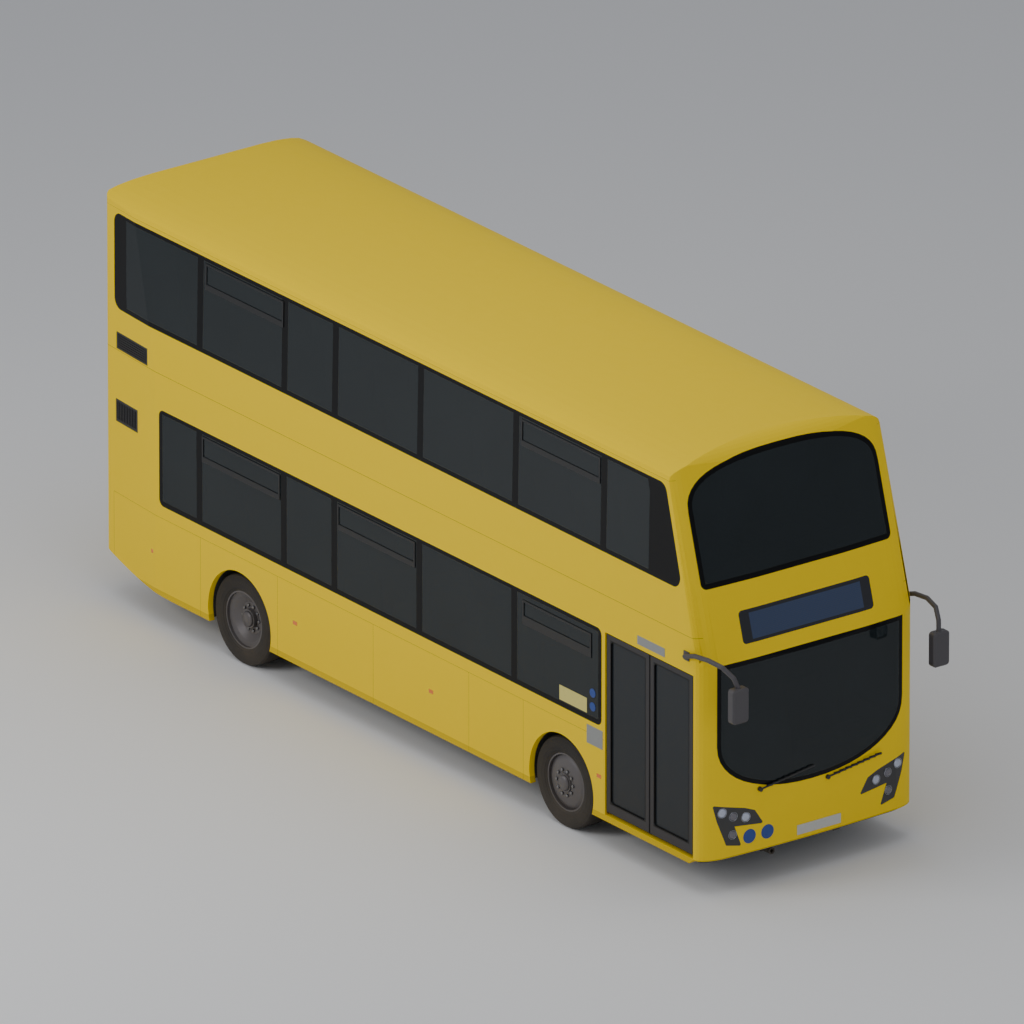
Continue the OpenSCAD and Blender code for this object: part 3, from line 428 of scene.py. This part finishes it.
display_panel = finish_material("display panel", rgb(44, 62, 96), 0.14, (3, 0.01), coat=0.3,
                                draw=dot_grid)
cover(display_panel, "destination_display")

# ---- Grilles, wipers and mirrors ----
# Slatted grilles and wiper arms in black plastic with a fine leather grain,
# and mirror heads on bent tubes in a greyer one, each bolted to a panel.
black_plastic = finish_material("black plastic", rgb(48, 47, 49), 0.5, (260, 0.35), film=0.2)
mirror_plastic = finish_material("mirror plastic", rgb(78, 75, 78), 0.42, (240, 0.3),
                                 film=0.15)
cover(black_plastic, "side_grilles", "wipers")
cover(mirror_plastic, "mirrors")

# ---- Lamps ----
# Black moulded wells let into the front panel. At the rear, three round
# lenses a side are pressed into the panel: red, amber and red.
amber_foot_z, amber_top_z = 0.84, 1.02


def lens_colours(n, tint, roughness):
    where, x, y, z = n.place()
    rear = n.math("LESS_THAN", x, 0.0)
    amber = between(n, z, amber_foot_z, amber_top_z, 0.001)
    top = n.math("GREATER_THAN", z, amber_top_z)
    # The pale cell pattern mixed onto the rear lenses is painted glints, standing in for light
    # caught by the lens facets.
    rings = n.add("ShaderNodeTexVoronoi", {"Vector": where, "Scale": 60.0})
    lens = n.mix(amber, rgb(170, 14, 12), rgb(236, 112, 10))
    lens = n.mix(top, lens, rgb(185, 20, 16))
    lens = n.mix(n.math("MULTIPLY", rings, 0.35), lens, rgb(255, 190, 160))
    smoother = n.math("MULTIPLY", rear, 0.2)
    return n.mix(rear, tint, lens), n.math("SUBTRACT", roughness, smoother)


lamp_wells = finish_material("lamp wells", rgb(20, 20, 22), 0.3, (40, 0.05), coat=0.6,
                             draw=lens_colours)
cover(lamp_wells, "lamps")

# ---- Cab: dashboard, partition, steering wheel ----
# A soft grey moulded dashboard, a steering wheel with a grained cover, and
# a pale laminate partition behind the driver, screwed to floor and side.
dash_plastic = finish_material("dash plastic", rgb(58, 60, 64), 0.6, (300, 0.4))
partition_panel = finish_material("partition panel", rgb(150, 153, 158), 0.45, (120, 0.08))
rim_cover = finish_material("steering wheel cover", rgb(26, 26, 27), 0.5, (400, 0.5))
cover(dash_plastic, "dashboard", smooth=False)
cover(partition_panel, "cab_partition", smooth=False)
cover(rim_cover, "steering_wheel")

# ---- Handrails ----
# Steel tube with an orange powder coat, running from floor to ceiling and
# along the gangway.
rail_paint = finish_material("rail paint", rgb(226, 112, 20), 0.38, (180, 0.1), coat=0.2)
cover(rail_paint, "handrails")

# ---- Tyres ----
# Black rubber, moulded with ribs and blocks in the tread and fine rings on
# the walls. The rear axle carries twins.
axle_z, tread_radius = 0.455, 0.444
wall_inner, wall_outer = 0.31, 0.435


def tyre_material(name, axle_x):
    material = finish_material(name, rgb(30, 29, 29), 0.72, (70, 0.25), film=0.6)
    n = Nodes(material.node_tree)
    where, x, y, z = n.place()
    dx = n.math("SUBTRACT", x, axle_x)
    dz = n.math("SUBTRACT", z, axle_z)
    squares = n.math("ADD", n.math("MULTIPLY", dx, dx), n.math("MULTIPLY", dz, dz))
    radius = n.math("SQRT", squares)
    turn = n.math("ARCTAN2", dz, dx)
    tread = n.math("GREATER_THAN", radius, tread_radius)
    ribs = n.math("GREATER_THAN", n.math("SINE", n.math("MULTIPLY", y, 150.0)), -0.75)
    blocks = n.math("GREATER_THAN", n.math("SINE", n.math("MULTIPLY", turn, 80.0)), -0.8)
    pattern = both(n, tread, n.math("MULTIPLY", ribs, blocks))
    rings = n.math("SINE", n.math("MULTIPLY", radius, 520.0))
    rings = both(n, n.math("SUBTRACT", 1.0, tread), between(n, radius, wall_inner, wall_outer),
                 rings)
    height = n.math("ADD", n.math("MULTIPLY", pattern, 1.0), n.math("MULTIPLY", rings, 0.12))
    bump = n.add("ShaderNodeBump", {"Strength": 0.9, "Distance": 0.012, "Height": height})
    shader = material.node_tree.nodes["Principled BSDF"]
    material.node_tree.links.new(bump, shader.inputs["Normal"])
    return material


for end, names in (("front", ("front_left_tyre", "front_right_tyre")),
                   ("rear", ("rear_left_tyres", "rear_right_tyres"))):
    low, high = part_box(names[0])
    cover(tyre_material(end + " tyre rubber", (low[0] + high[0]) / 2), *names)

# ---- Wheels ----
# Pressed steel discs in grey paint, each held to its hub by ten bare steel
# nuts, with a domed cap over the hub.
rim_paint = finish_material("rim paint", rgb(104, 101, 103), 0.42, (150, 0.12), film=0.5,
                            metal=0.35)
nut_steel = finish_material("nut steel", rgb(140, 140, 142), 0.35, (300, 0.1), film=0.4,
                            metal=0.9)
cover(rim_paint, "front_left_rim", "front_right_rim", "rear_left_rims", "rear_right_rims")


def piece(name, body, material, build):
    """A mesh piece of the bus that rides with a body; build fills a bmesh."""
    mesh = bpy.data.meshes.new(name)
    work = bmesh.new()
    build(work)
    bmesh.ops.recalc_face_normals(work, faces=work.faces)
    work.to_mesh(mesh)
    work.free()
    mesh.materials.append(material)
    made = bpy.data.objects.new(name, mesh)
    bpy.context.scene.collection.objects.link(made)
    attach(made, body)
    return made


def disc(work, centre, axis, profile, steps=24, caps=True):
    """Turns a profile of (distance along axis, radius) about an axis through centre."""
    least_radius = 1e-4
    axis = Vector(axis).normalized()
    first = axis.orthogonal().normalized()
    second = axis.cross(first)
    rings = []
    for along, radius in profile:
        ring = []
        for i in range(steps):
            a = 2 * math.pi * i / steps
            out = first * math.cos(a) + second * math.sin(a)
            spot = Vector(centre) + axis * along + out * max(radius, least_radius)
            ring.append(work.verts.new(spot))
        rings.append(ring)
    for low, high in zip(rings, rings[1:]):
        for i in range(steps):
            j = (i + 1) % steps
            work.faces.new((low[i], low[j], high[j], high[i])).smooth = True
    if caps:
        work.faces.new(rings[0])
        work.faces.new(rings[-1])


def box(work, low, high, bevel=0.0):
    """A box between two corners, with its edges rounded by bevel."""
    made = bmesh.ops.create_cube(work, size=1)["verts"]
    middle = (Vector(low) + Vector(high)) / 2
    size = Vector(high) - Vector(low)
    for v in made:
        v.co = Vector(a * b for a, b in zip(v.co, size)) + middle
    if bevel:
        edges = list(dict.fromkeys(e for v in made for e in v.link_edges))
        bmesh.ops.bevel(work, geom=edges, offset=bevel, segments=2, affect="EDGES",
                        profile=0.5)


def wheel_nuts(work, centre, out, ring, face, count=10):
    """Six-sided nuts on a circle about the hub."""
    for i in range(count):
        a = 2 * math.pi * i / count
        spot = (centre[0] + ring * math.cos(a), face, centre[2] + ring * math.sin(a))
        disc(work, spot, (0, out, 0), [(-0.004, 0.017), (0.014, 0.017), (0.018, 0.013)], 6)


track_half, nut_circle = 1.1075, 0.127
# How far a disc stands outboard of its wheel's middle, and its cap of the disc
front_disc, front_cap = 0.1195, 0.012
rear_disc, rear_cap = 0.0215, 0.04
for body_name, node in (("front_left_wheel", "front_left_rim"),
                        ("front_right_wheel", "front_right_rim"),
                        ("rear_left_wheels", "rear_left_rims"),
                        ("rear_right_wheels", "rear_right_rims")):
    low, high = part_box(node)
    out = 1 if low[1] + high[1] > 0 else -1
    hub = ((low[0] + high[0]) / 2, 0, (low[2] + high[2]) / 2)
    front = node.startswith("front")
    face = out * (track_half + (front_disc if front else rear_disc))
    piece(node + "_nuts", body_name, nut_steel,
          lambda work: wheel_nuts(work, hub, out, nut_circle, face))
    cap_out = face + out * (front_cap if front else rear_cap)
    piece(node + "_cap", body_name, rim_paint,
          lambda work: disc(work, (hub[0], cap_out - out * 0.002, hub[2]), (0, out, 0),
                            [(0, 0.078), (0.012, 0.078), (0.026, 0.066), (0.03, 0.02)], 32))

# ---- Doors ----
# Each leaf is an aluminium frame in dark grey around one tinted pane, with a
# black rubber finger strip down its closing edge and a pull rail inside.
pane_half, pane_foot_z, pane_top_z = 0.266, 0.503, 2.150
bead_width = 0.014


def leaf_material(name, middle):
    """Grey frame paint with a tinted pane and its black bead about the leaf's middle."""
    def field(n, x, z, wider):
        across = between(n, x, middle - pane_half - wider, middle + pane_half + wider)
        return both(n, across, between(n, z, pane_foot_z - wider, pane_top_z + wider))

    def pane(n, tint, roughness):
        where, x, y, z = n.place()
        inside = field(n, x, z, 0.0)
        bead = field(n, x, z, bead_width)
        tint = n.mix(n.math("SUBTRACT", bead, inside), tint, rgb(16, 16, 17))
        tint = n.mix(inside, tint, rgb(38, 43, 47))
        return tint, n.math("SUBTRACT", roughness, n.math("MULTIPLY", inside, 0.34), True)

    material = finish_material(name, rgb(64, 62, 63), 0.42, (120, 0.06), film=0.15, draw=pane)
    material.node_tree.nodes["Principled BSDF"].inputs["Specular IOR Level"].default_value = 0.22
    return material


door_rubber = finish_material("door rubber", rgb(18, 18, 18), 0.7, (120, 0.2))
post_paint = finish_material("post paint", rgb(190, 146, 12), 0.4, (160, 0.1))
cover(post_paint, "rear_door_post", "front_door_post")
strip_outer_y, strip_inner_y = -1.262, -1.232
rail_y, rail_foot_z, rail_length, rail_radius = -1.205, 0.95, 0.85, 0.013
for leaf, body_name, closing in (("rear_door_leaf", "rear_door", 1),
                                 ("front_door_leaf", "front_door", -1)):
    low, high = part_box(leaf)
    middle = (low[0] + high[0]) / 2
    half = (high[0] - low[0]) / 2
    cover(leaf_material(leaf + " finish", middle), leaf, smooth=False)
    edge = middle + closing * half

    def strip(work):
        for x, wide in ((edge, 0.007), (edge - closing * 2 * half, 0.012)):
            box(work, (x - wide, strip_outer_y, low[2] + 0.01),
                (x + wide, strip_inner_y, high[2] - 0.01), 0.005)

    piece(leaf + "_rubber", body_name, door_rubber, strip)

    def pull(work):
        rail_x = edge - closing * 0.09
        disc(work, (rail_x, rail_y, rail_foot_z), (0, 0, 1),
             [(0, rail_radius), (rail_length, rail_radius)], 16)
        for z in (0.97, 1.78):
            disc(work, (rail_x, -1.228, z), (0, 1, 0), [(0, 0.01), (0.022, 0.01)], 12)

    piece(leaf + "_pull_rail", body_name, post_paint, pull)

# ---- Hopper windows ----
# Black aluminium frames round the opening top lights, pressed over the glass
# in two bays of each side of each deck, and in one more behind the door.
side_y, side_lean = 1.275, 0.027
lean_foot_z, lean_rise = 2.6, 1.46
hopper_bar, hopper_gap = 0.02, 0.03
lower_hoppers_x = ((-3.3725, -2.1035), (-1.1995, 0.0535))
upper_hoppers_x = ((-3.3375, -2.0675), (1.6825, 2.9425))


def skin(z):
    """How far out the side's face lies at a height."""
    return side_y - side_lean * min(1, max(0, (z - lean_foot_z) / lean_rise))


def hopper(work, x0, x1, z0, z1, bar, out):
    """A frame round a top light; each bar follows the lean of the side."""
    for low_x, high_x, low_z, high_z in (
            (x0, x1, z0 - bar, z0), (x0, x1, z1, z1 + hopper_bar),
            (x0 - hopper_bar, x0, z0 - bar, z1 + hopper_bar),
            (x1, x1 + hopper_bar, z0 - bar, z1 + hopper_bar)):
        corners = []
        for z in (low_z, high_z):
            for depth in (0.004, -0.006):
                y = out * (skin(z) - depth)
                corners += [work.verts.new((low_x, y, z)), work.verts.new((high_x, y, z))]
        a, b, c, d, e, f, g, h = corners
        for face in ((a, b, d, c), (e, f, h, g), (a, b, f, e), (c, d, h, g),
                     (a, c, g, e), (b, d, h, f)):
            work.faces.new(face)


def all_hoppers(work):
    for out in (-1, 1):
        for x0, x1 in lower_hoppers_x:
            hopper(work, x0 + hopper_gap, x1 - hopper_gap, 1.970, 2.157, 0.055, out)
        for x0, x1 in upper_hoppers_x:
            hopper(work, x0 + hopper_gap, x1 - hopper_gap, 3.750, 3.940, 0.055, out)
    hopper(work, 1.7655, 2.8045, 1.982, 2.119, 0.09, -1)


hopper_paint = finish_material("hopper frame", rgb(24, 24, 25), 0.4, (200, 0.1), film=0.1)
piece("hopper_frames", "body", hopper_paint, all_hoppers)

# ---- Lamp lenses, reflectors and markers ----
# Four round lenses in each lamp well with bright bezels, tail lamp rims, and
# small orange markers along the skirt.
lens_bright = finish_material("bright lens", rgb(190, 196, 214), 0.12, (90, 0.6), metal=0.55,
                              coat=0.8)
lens_dim = finish_material("dim lens", rgb(112, 110, 118), 0.16, (90, 0.5), metal=0.5,
                           coat=0.8)
bezel_chrome = finish_material("bezel chrome", rgb(150, 152, 158), 0.18, (60, 0.02), metal=1.0)
marker_orange = finish_material("marker orange", rgb(240, 120, 8), 0.22, (150, 0.4), coat=0.6)
nose_x, nose_bow = 4.5975, 0.028
corner_x, corner_y, corner_width, corner_sweep = 4.5695, 0.965, 0.31, 0.155
lamp_turn = 0.12


def front_x(y):
    """Where the face of the front panel lies at a distance from the middle."""
    reach = abs(y)
    if reach <= corner_y:
        return nose_x - nose_bow * (reach / corner_y) ** 2
    return corner_x - corner_sweep * ((reach - corner_y) / corner_width) ** 2.4


def lenses(work, spots):
    for y, z, radius in spots:
        for out in (-1, 1):
            spot = (front_x(y) - 0.001, out * y, z)
            disc(work, spot, (1, out * lamp_turn, 0),
                 [(-0.01, radius), (0, radius), (0.005, radius * 0.8), (0.007, radius * 0.4)],
                 28)


def bezels(work, spots):
    for y, z, radius in spots:
        for out in (-1, 1):
            spot = (front_x(y) - 0.003, out * y, z)
            disc(work, spot, (1, out * lamp_turn, 0),
                 [(-0.008, radius * 1.16), (0.005, radius * 1.16), (0.007, radius * 1.08),
                  (0.002, radius)], 28, caps=False)


bright_spots = [(1.043, 0.820, 0.045), (0.775, 0.721, 0.045)]
dim_spots = [(0.918, 0.758, 0.041), (0.925, 0.575, 0.041)]
piece("lamp_bezels", "body", bezel_chrome,
      lambda work: bezels(work, bright_spots + dim_spots))
piece("headlamp_lenses", "body", lens_bright,
      lambda work: lenses(work, bright_spots))
piece("indicator_lenses", "body", lens_dim,
      lambda work: lenses(work, dim_spots))
marker_foot_z, marker_top_z, marker_half, marker_depth = 0.705, 0.745, 0.035, 0.01


def markers(work):
    """The rearmost pair sits where the side already turns in."""
    for x, reach in ((-4.1675, 1.272), (-1.8775, 1.277), (0.2925, 1.277), (2.9425, 1.277)):
        for out in (-1, 1):
            y = out * reach
            inner_y = y - out * marker_depth
            box(work, (x - marker_half, min(y, inner_y), marker_foot_z),
                (x + marker_half, max(y, inner_y), marker_top_z), 0.003)


piece("side_markers", "body", marker_orange, markers)
tail_x, tail_lamp_y = -5.0515, 1.01


def tail_rims(work):
    for out in (-1, 1):
        for z in (0.76, 0.93, 1.10):
            disc(work, (tail_x, out * tail_lamp_y, z), (-1, 0, 0),
                 [(-0.006, 0.073), (0.006, 0.073), (0.008, 0.068), (0.002, 0.062)], 28,
                 caps=False)


piece("tail_lamp_rims", "body", black_plastic, tail_rims)

# ---- Plates and signs ----
# Blank pressed plates are screwed to the front, the rear and the door side.
# Blank round and square film labels are stuck behind the door and in front.
plate_white = finish_material("plate white", rgb(206, 206, 200), 0.4, (40, 0.02), film=0.2)
sign_grey = finish_material("sign grey", rgb(150, 152, 150), 0.5, (60, 0.05), film=0.1)
label_blue = finish_material("label blue", rgb(30, 70, 150), 0.4, (60, 0.03), film=0.1)
label_yellow = finish_material("label yellow", rgb(226, 214, 120), 0.45, (60, 0.03))
plate_outer_y, plate_inner_y = -1.279, -1.270


def number_plates(work):
    """The front plate, left of the middle, and the rear one."""
    box(work, (4.585, -0.18, 0.395), (4.603, 0.34, 0.495), 0.004)
    box(work, (-5.057, -0.26, 0.56), (-5.048, 0.26, 0.625), 0.003)


piece("number_plates", "body", plate_white, number_plates)


def side_plates(work):
    """A square one behind the door and a long one over it."""
    box(work, (2.7525, plate_outer_y, 1.01), (3.0025, plate_inner_y, 1.20), 0.004)
    box(work, (3.5425, plate_outer_y, 2.27), (3.9725, plate_inner_y, 2.36), 0.004)


piece("side_plates", "body", sign_grey, side_plates)


def blue_labels(work):
    """Two below the windscreen and two behind the door."""
    for y in (-0.732, -0.525):
        disc(work, (front_x(y) - 0.004, y, 0.517), (1, -0.04, 0),
             [(0, 0.072), (0.006, 0.072), (0.007, 0.068)], 32)
    for z in (1.54, 1.40):
        disc(work, (2.8425, -1.2725, z), (0, -1, 0), [(0, 0.045), (0.004, 0.045)], 24)


piece("round_labels", "body", label_blue, blue_labels)
piece("window_label", "body", label_yellow,
      lambda work: box(work, (2.3225, -1.2765, 1.31), (2.7525, -1.2725, 1.46), 0.001))

# ---- Mirror glass and wiper blades ----
# A silvered plate faces back from each mirror head; a rubber blade on its
# carrier lies along each wiper arm.
mirror_silver = finish_material("mirror silver", rgb(200, 206, 212), 0.06, (2, 0.01), metal=1.0)
mirror_y, mirror_half = 1.19, 0.075


def mirror_plates(work):
    for out in (-1, 1):
        box(work, (4.948, out * mirror_y - mirror_half, 1.955),
            (4.954, out * mirror_y + mirror_half, 2.245), 0.002)


piece("mirror_glass", "body", mirror_silver, mirror_plates)


blade_step, blade_slope = 0.07, 0.14


def blades(work):
    """Eight carrier links to a blade, each a step along and up."""
    for y0, z0 in ((-0.55, 0.985), (0.25, 0.915)):
        for i in range(8):
            y = y0 + blade_step * i
            z = z0 + blade_step * i * blade_slope
            x = nose_x + 0.004
            box(work, (x, y, z - 0.004), (x + 0.012, y + 0.074, z + 0.018), 0.002)


piece("wiper_blades", "body", door_rubber, blades)

# ---- Passenger and driver's seats ----
# Moulded shells on one pedestal carry two foam cushions and two backs, each
# crowned, with a sewn channel across it, under woven blue moquette.


def moquette(n, tint, roughness):
    spot = n.add("ShaderNodeTexCoord", out=3)
    weave = n.add("ShaderNodeTexWave", {"Vector": spot, "Scale": 90.0, "Distortion": 1.0})
    fleck = n.add("ShaderNodeTexVoronoi", {"Vector": spot, "Scale": 26.0})
    dots = n.math("LESS_THAN", fleck, 0.2)
    tint = n.mix(n.math("MULTIPLY", weave, 0.35), tint, rgb(18, 26, 58))
    return n.mix(dots, tint, rgb(206, 128, 40)), roughness


seat_fabric = finish_material("seat fabric", rgb(38, 62, 120), 0.85, (320, 0.5),
                              draw=moquette)
driver_fabric = finish_material("driver fabric", rgb(52, 54, 60), 0.85, (320, 0.5))
shell_plastic = finish_material("seat shell", rgb(70, 74, 80), 0.45, (200, 0.15))


def cushion(work, place, size, channels=(-0.4, 0.35), parts=9):
    """A crowned pad: rounded edges, sides drawn in between corners, sewn channels on top."""
    roundness, draw_in, channel_depth, channel_width = 7, 0.035, 0.16, 0.07
    points = {}

    def vertex(x, y, z):
        key = (round(x, 4), round(y, 4), round(z, 4))
        if key not in points:
            pull = sum(abs(c) ** roundness for c in (x, y, z)) ** (-1 / roundness)
            px, py, pz = x * pull, y * pull, z * pull
            py *= 1 - draw_in * (1 - x * x)
            px *= 1 - draw_in * (1 - y * y)
            crown = (1 - 0.6 * x * x) * (1 - 0.6 * y * y)
            if z > 0:
                pz = pz * (0.78 + 0.22 * crown)
                for at in channels:
                    dip = math.exp(-((x - at) / channel_width) ** 2)
                    pz -= channel_depth * dip * max(0, 1 - abs(y) ** 6)
            points[key] = work.verts.new(
                place @ Vector((px * size[0] / 2, py * size[1] / 2, pz * size[2] / 2)))
        return points[key]

    steps = [-1 + 2 * i / parts for i in range(parts + 1)]
    for axis in range(3):
        for sign in (-1, 1):
            for i in range(parts):
                for j in range(parts):
                    ring = []
                    for u, v in ((i, j), (i + 1, j), (i + 1, j + 1), (i, j + 1)):
                        spot = [steps[u], steps[v]]
                        spot.insert(axis, sign)
                        ring.append(vertex(*spot))
                    work.faces.new(ring).smooth = True


seat_pitch, seat_y = 0.78, 0.745
lower_deck_z, upper_deck_z = 0.362, 2.410


def seat_spots():
    """Where each double seat stands on the two decks."""
    spots = []
    for y in (-seat_y, seat_y):
        spots += [(-1.6975 + seat_pitch * i, y, lower_deck_z) for i in range(4)]
        spots += [(-2.4775, y, 0.720), (-4.0275, y, 1.200)]
    for y, rows in ((-seat_y, 10), (seat_y, 6)):
        spots += [(-4.1675 + seat_pitch * i, y, upper_deck_z) for i in range(rows)]
    spots.append((3.0915, seat_y, upper_deck_z))
    return spots


seat_half = 0.215
seat_middles = (-seat_half, seat_half)
base_size = (0.425, 0.42, 0.095)
back_size = (0.57, 0.42, 0.06)
lean = Matrix.Rotation(math.radians(-8), 4, "Y")
upright = Matrix.Rotation(math.radians(90), 4, "Y")


def seat_bases(work):
    for x, y, z in seat_spots():
        for half in seat_middles:
            cushion(work, Matrix.Translation((x + 0.005, y + half, z + 0.415)), base_size)


def seat_backs(work):
    for x, y, z in seat_spots():
        for half in seat_middles:
            place = (Matrix.Translation((x - 0.28, y + half, z + 0.40)) @ lean
                     @ Matrix.Translation((0.045, 0, 0.33)) @ upright)
            cushion(work, place, back_size)


def seat_shells(work):
    """A leg, a tray, two leaning backs and two grips to each double seat."""
    for x, y, z in seat_spots():
        leg_y = y + (0.38 if y < 0 else -0.38)
        box(work, (x - 0.06, leg_y - 0.03, z), (x + 0.02, leg_y + 0.03, z + 0.36), 0.008)
        box(work, (x - 0.22, y - 0.43, z + 0.355), (x + 0.20, y + 0.43, z + 0.372), 0.006)
        for half in seat_middles:
            begin = len(work.verts)
            box(work, (-0.002, half - seat_half, 0.0), (0.012, half + seat_half, 0.63), 0.006)
            work.verts.ensure_lookup_table()
            shift = Matrix.Translation((x - 0.28, y, z + 0.385)) @ lean
            for v in work.verts[begin:]:
                v.co = shift @ v.co
        for grip_y in (-0.36, 0.36):
            foot = Matrix.Translation((x - 0.28, y, z + 0.40))
            tip = foot @ lean @ Vector((0.02, grip_y, 0.622))
            disc(work, tip - Vector((0, 0.05, 0)), (0, 1, 0), [(0, 0.012), (0.1, 0.012)], 10)


bases = piece("seat_cushions", "body", seat_fabric, seat_bases)
backs = piece("seat_back_cushions", "body", seat_fabric, seat_backs)
shells = piece("seat_shells", "body", shell_plastic, seat_shells)
for made in (bases, backs, shells):
    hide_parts("passenger_seats")
driver_place = (3.7725, 0.72, lower_deck_z)


def driver_pads(work):
    """The driver's cushion and back, each one broad pad."""
    x, y, z = driver_place
    cushion(work, Matrix.Translation((x + 0.03, y, z + 0.445)), (0.46, 0.47, 0.10))
    back = (Matrix.Translation((x - 0.25, y, z + 0.44)) @ lean
            @ Matrix.Translation((0.05, 0, 0.32)) @ upright)
    cushion(work, back, (0.62, 0.45, 0.085))


def driver_base(work):
    """A turned pedestal with the seat's tray on it."""
    disc(work, driver_place, (0, 0, 1),
         [(0, 0.12), (0.03, 0.12), (0.05, 0.09), (0.36, 0.085)], 24)
    box(work, (3.58, 0.50, 0.735), (4.02, 0.94, 0.76), 0.008)


driver_cushion = piece("driver_cushions", "body", driver_fabric, driver_pads)
driver_pedestal = piece("driver_pedestal", "body", shell_plastic, driver_base)
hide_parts("driver_seat")
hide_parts("driver_seat")

# ---- Dashboard instruments ----
# A low moulded hood stands on the dashboard over the driver's blank
# instruments, in the same grey plastic.


def hood(work):
    box(work, (4.28, 0.52, 1.165), (4.44, 0.92, 1.20), 0.01)


piece("instrument_hood", "body", dash_plastic, hood)

# ---- Stage ----
# A plain pale floor under a soft overhead light, a key light high up on the
# door side and a weak fill in front of the bus.
stage_material = bpy.data.materials.new("stage")
stage_material.use_nodes = True
stage_shader = stage_material.node_tree.nodes["Principled BSDF"]
stage_shader.inputs["Base Color"].default_value = (0.88, 0.88, 0.88, 1)
stage_shader.inputs["Roughness"].default_value = 0.9
floor_width = 400
bpy.ops.mesh.primitive_plane_add(size=floor_width, location=(0, 0, 0))
floor = bpy.context.object
floor.name = "stage_floor"
floor.data.materials.append(stage_material)


def area_light(name, place, look_at, size, power):
    light = bpy.data.objects.new(name, bpy.data.lights.new(name, "AREA"))
    light.data.size = size
    light.data.energy = power
    light.location = place
    toward_bus = Vector(look_at) - Vector(place)
    light.rotation_euler = toward_bus.to_track_quat("-Z", "Y").to_euler()
    bpy.context.scene.collection.objects.link(light)


area_light("overhead", (1, -2, 16), (0, 0, 1), 14, 700)
area_light("key", (-4, -17, 11), (0, 0, 2), 9, 1100)
area_light("front fill", (17, -3, 6), (0, 0, 2), 8, 170)
world = bpy.data.worlds.new("sky")
bpy.context.scene.world = world
world.use_nodes = True
sky = world.node_tree.nodes["Background"].inputs
sky["Color"].default_value = (0.9, 0.93, 1, 1)
sky["Strength"].default_value = 0.36
